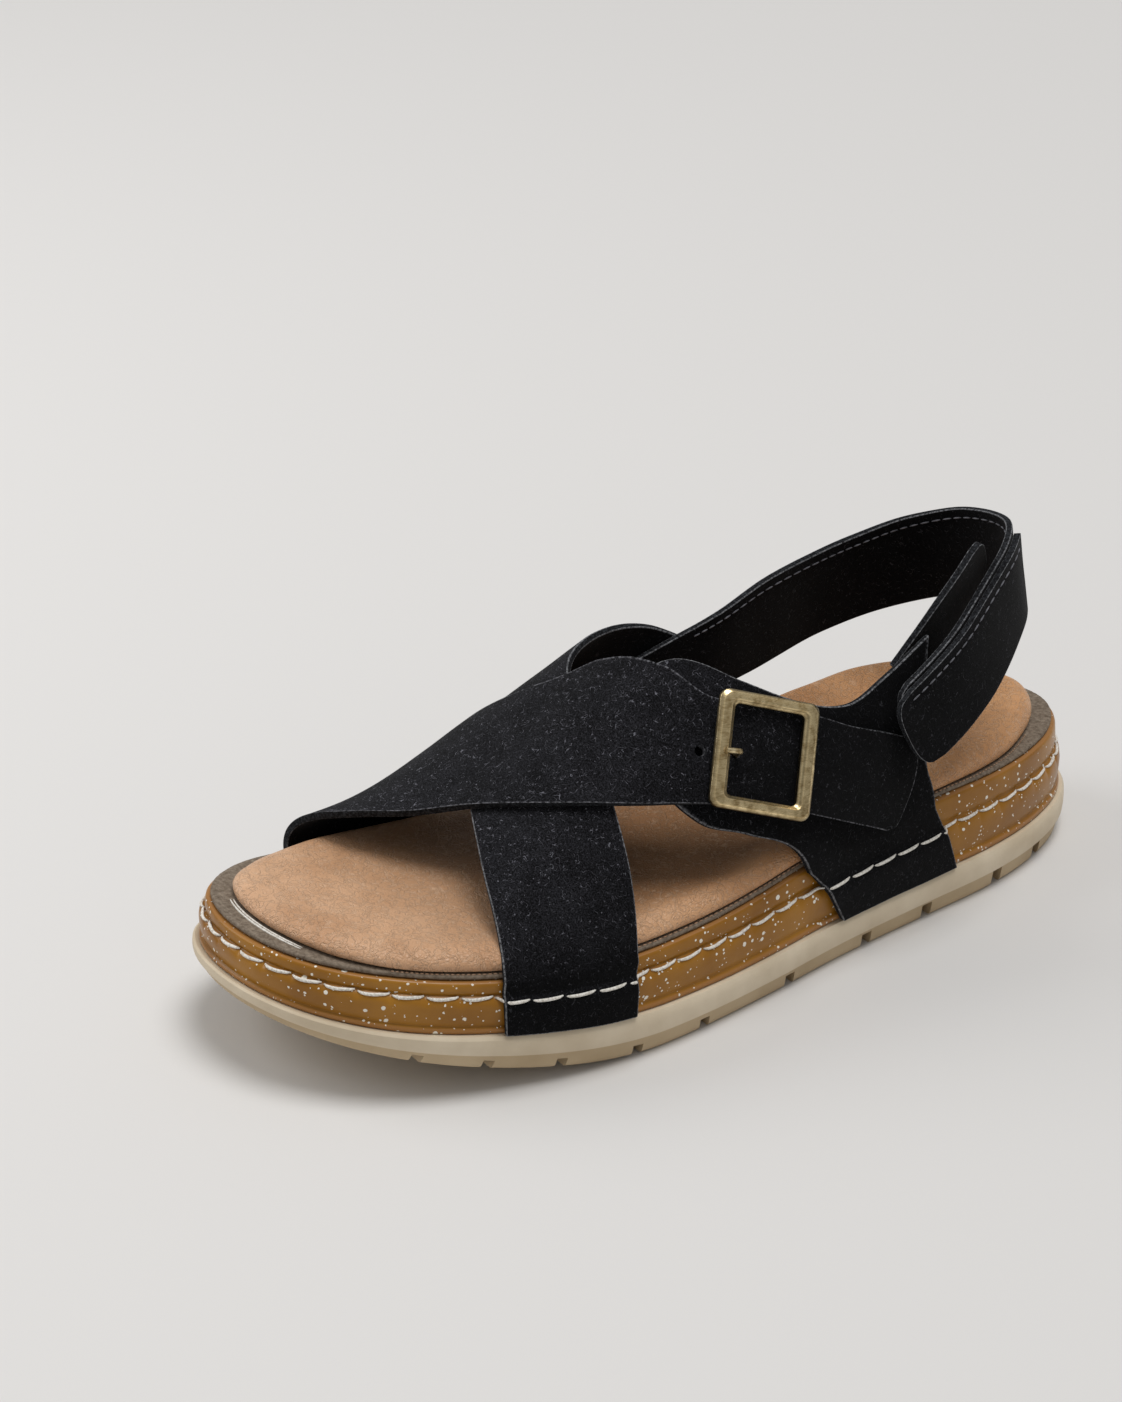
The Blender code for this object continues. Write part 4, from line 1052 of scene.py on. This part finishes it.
brown_thread, tree, place = new_material("brown_thread", 0.7, 0.3)
twist = cloudy(tree, place, 1500)
surface(tree, ramp(tree, twist, (0, (0.16, 0.075, 0.035)), (1, (0.62, 0.42, 0.28))))
pitch_angle = 2 * BED_PITCH / LENGTH
bed_seam = [[bed_seam_point(BED_START + (k + 0.7 * j / 3) * pitch_angle, BED_OUT) for j in range(4)]
            for k in range(round(BED_RUN / pitch_angle))]
add_thread("bed_stitches", bed_seam, BED_RADIUS, brown_thread)
toe_thread = [[bed_seam_point(between(TOE_ANGLES, k / TOE_POINTS), out) for k in range(TOE_POINTS + 1)]
              for out in TOE_TURNS]
add_thread("toe_thread", toe_thread, TOE_RADIUS, white_thread, sides=2)

# Fine seams: dull grey thread sewn through the nubuck, in one row inside the heel strap
# along its upper edge and in one on the tab's outer face.
FINE_RADIUS = 0.00022
FINE_PITCH = 0.003
FINE_GAP = 0.12
FINE_SAMPLES = 60


def seam_along(place, rows, strip, lift):
    """Short stitches on a laid piece, between two of its rows and along one strip."""
    spots = [place(between(rows, k / FINE_SAMPLES), strip) for k in range(FINE_SAMPLES + 1)]
    count = max(1, round(sum((b - a).length for a, b in zip(spots, spots[1:])) / FINE_PITCH))
    stitches = []
    for k in range(count):
        points = []
        for j in range(4):
            row = between(rows, (k + between((FINE_GAP, 1 - FINE_GAP), j / 3)) / count)
            across = place(row, min(strip + 0.02, 1)) - place(row, max(strip - 0.02, 0))
            along = place(min(row + 0.01, 1), strip) - place(max(row - 0.01, 0), strip)
            points.append(place(row, strip) + across.cross(along).normalized() * lift)
        stitches.append(points)
    return stitches


grey_thread, tree, place = new_material("dull_grey_thread", 0.8, 0.2)
shade = cloudy(tree, place, 900)
surface(tree, ramp(tree, shade, (0, (0.03, 0.03, 0.035)), (1, (0.26, 0.26, 0.29))))
fine_seams = seam_along(heel_place, (0.1, 0.72), 0.9, -FINE_RADIUS * 0.5)
fine_seams += seam_along(tab_place, (0.06, 0.93), 0.9, LEATHER + FINE_RADIUS * 0.4)
add_thread("fine_stitches", fine_seams, FINE_RADIUS, grey_thread)

# Buckle: a cast brass frame with sloped faces, aged brown in its hollows and rubbed
# bright on its ridges, with painted highlights on its ridges and painted shade on its slopes and walls.
# Its bar lies under the strap and its pin comes up through the hole.
BUCKLE_HEIGHT = 0.0284
BUCKLE_THICKNESS = 0.0024
BUCKLE_CORNER = 0.0026
RAIL_GROWTH = 0.0005
BUCKLE_LEAN = radians(-4.5)
END_RAIL_SHARE = 0.78
BUCKLE_BAR = 0.0015
PRONG_DIAMETER = 0.0015
SEAT_SAMPLES = 10
# Share of the rail's width from outside in, and share of the thickness
FRAME_PROFILE = (
    (0.03, 0), (0, 0.1), (0, 0.48), (0.03, 0.58), (0.22, 0.84), (0.27, 0.87), (0.66, 1),
    (0.72, 1), (0.92, 0.72), (1, 0.6), (1, 0.1), (0.97, 0), (0.5, 0), (0.03, 0))
# Share round that profile, and how bright the brass is there, from rubbing and from painted highlight and
# shade
WEAR_AND_PAINTED_LIGHT = ((0, 0.4), (0.22, 0.42), (0.31, 1.25), (0.37, 0.85), (0.45, 0.95), (0.53, 1.25),
          (0.575, 0.6), (0.61, 1.1), (0.69, 0.4), (1, 0.4))
BUCKLE_WEAR = 0.00006
WEAR_WAVES = 260


def strap_spot(along, strip):
    """Point of strap B's inner face, in the buckle's axes, at a distance along it."""
    back = buckle_axes.inverted()
    low, high = BUCKLE_ROW - BUCKLE_REACH, BUCKLE_ROW + BUCKLE_REACH
    for _ in range(20):
        middle = (low + high) / 2
        spot = back @ place_strap_b(middle, strip)
        if spot.x < along:
            low = middle
        else:
            high = middle
    return spot


# the frame seats on the highest point of the strap under it
seat_shares = [k / SEAT_SAMPLES for k in range(SEAT_SAMPLES + 1)]
buckle_seat = max(0, *(strap_spot(BUCKLE_WIDTH * (share - 0.5), strip).z
                       for share in seat_shares for strip in seat_shares)) + LEATHER + SEAT_GAP


def frame_outline(share, inset):
    """Point of the frame's rounded outline, moved inward by a share of the rail."""
    corner = BUCKLE_CORNER * (1 - 0.5 * inset)
    grown = RAIL_GROWTH * (1 - inset)
    half_x = BUCKLE_WIDTH / 2 + grown - inset * BUCKLE_RAIL - corner
    half_y = BUCKLE_HEIGHT / 2 + grown - inset * BUCKLE_RAIL * END_RAIL_SHARE - corner
    spot = share % 1 * 4
    quarter, part = int(spot), spot % 1
    sign_x = 1 if quarter in (0, 3) else -1
    sign_y = 1 if quarter in (0, 1) else -1
    angle = pi / 2 * (quarter + min(part * 2, 1))
    start = Vector((sign_x * half_x + corner * cos(angle), sign_y * half_y + corner * sin(angle)))
    end = Vector((-start.x, start.y)) if quarter in (0, 2) else Vector((start.x, -start.y))
    return start.lerp(end, max(part * 2 - 1, 0))


def lay_buckle(across, up):
    inset, height = row_of(FRAME_PROFILE, up)
    flat = Matrix.Rotation(BUCKLE_LEAN, 2) @ frame_outline(across, inset)
    worn = BUCKLE_WEAR * noise.noise(Vector((flat.x, flat.y, height)) * WEAR_WAVES)
    return buckle_axes @ Vector((flat.x, flat.y, buckle_seat + height * BUCKLE_THICKNESS + worn))


def brass_material(name, ridged):
    """Brass with brown patina and slanting strokes; the frame's ridges are rubbed bright, with highlight
    and shade painted per facet.
    """
    material, tree, place = new_material(name, 0.36, Metallic=1)
    aslant = add_node(tree, "Mapping", {"Vector": place, "Rotation": (radians(38), 0, 0),
                                        "Scale": (900, 700, 7000)})[0]
    strokes = cloudy(tree, aslant, 1, 3)
    patina = cloudy(tree, place, 420, 5, Roughness=0.6)
    worn = add_node(tree, "Mix", {"Factor": 0.35, "A": patina, "B": strokes})["Result"]
    finish = ramp(tree, worn, (0.36, (0.27, 0.19, 0.085)), (0.58, (0.76, 0.63, 0.39)))
    if ridged:
        # brightness per facet of the profile: wear on the ridges, plus painted highlight and painted shade
        wear_and_painted_shading = ramp(tree, sheet_axes(tree)["Y"],
                      *((spot, (much, much * 0.97, much * 0.9)) for spot, much in WEAR_AND_PAINTED_LIGHT))
        finish = mix(tree, 1, finish, wear_and_painted_shading, "MULTIPLY")
    surface(tree, finish, strokes, 0.25, 0.0001, ranged(tree, worn, 0.3, 0.65, 0.5, 0.24))
    return material


brass = brass_material("aged_brass", True)
plain_brass = brass_material("rubbed_brass", False)
casting = lay("buckle_casting", 96, len(FRAME_PROFILE) - 1, lay_buckle)
casting.set_sharp_from_angle(angle=radians(24))
add_piece("buckle_casting", casting, [brass], "buckle_frame")


def add_rod(name, points, diameter, stands_for=None):
    """Round brass rod through points in the buckle's axes, smoothed, with closed ends."""
    path = round_path(name, diameter / 2, 4)
    line = path.splines.new("NURBS")
    line.points.add(len(points) - 1)
    line.use_endpoint_u = True
    line.order_u = 3
    line.resolution_u = 6
    for node, point in zip(line.points, points):
        node.co = (*(buckle_axes @ Vector(point)), 1)
    mesh = mesh_of_path(name, path)
    mesh.set_sharp_from_angle(angle=radians(50))
    return add_piece(name, mesh, [plain_brass], stands_for)


rail_y = BUCKLE_HEIGHT / 2 - BUCKLE_BAR * 0.6
top = buckle_seat + BUCKLE_THICKNESS / 2
bar = []
for share in seat_shares:
    spot = strap_spot(0, share)
    bar.append((0, spot.y, spot.z - SEAT_GAP - BUCKLE_BAR / 2))
add_rod("buckle_bar", [(0, -rail_y, top), (0, -rail_y, bar[0][2])] + bar
        + [(0, rail_y, bar[-1][2]), (0, rail_y, top)], BUCKLE_BAR)
radius = PRONG_DIAMETER / 2
under = min(strap_spot(0, 0.5).z, strap_spot(prong_hole_x, 0.5).z) - SEAT_GAP - radius
over = buckle_seat + BUCKLE_THICKNESS + SEAT_GAP + radius
prong = add_rod("buckle_pin", [
    (-(BUCKLE_BAR / 2 + SEAT_GAP), 0, under), (prong_hole_x * 0.72, 0, under),
    (prong_hole_x, 0, under + radius), (prong_hole_x, 0, buckle_seat + radius),
    (prong_hole_x - radius, 0, over - radius / 2), (prong_hole_x - 2 * radius, 0, over),
    (prong_hole_x - PRONG_HOLE - 0.6 * BUCKLE_RAIL, 0, over)], PRONG_DIAMETER, "buckle_prong")
round_edges(prong, 0.0003, 60)
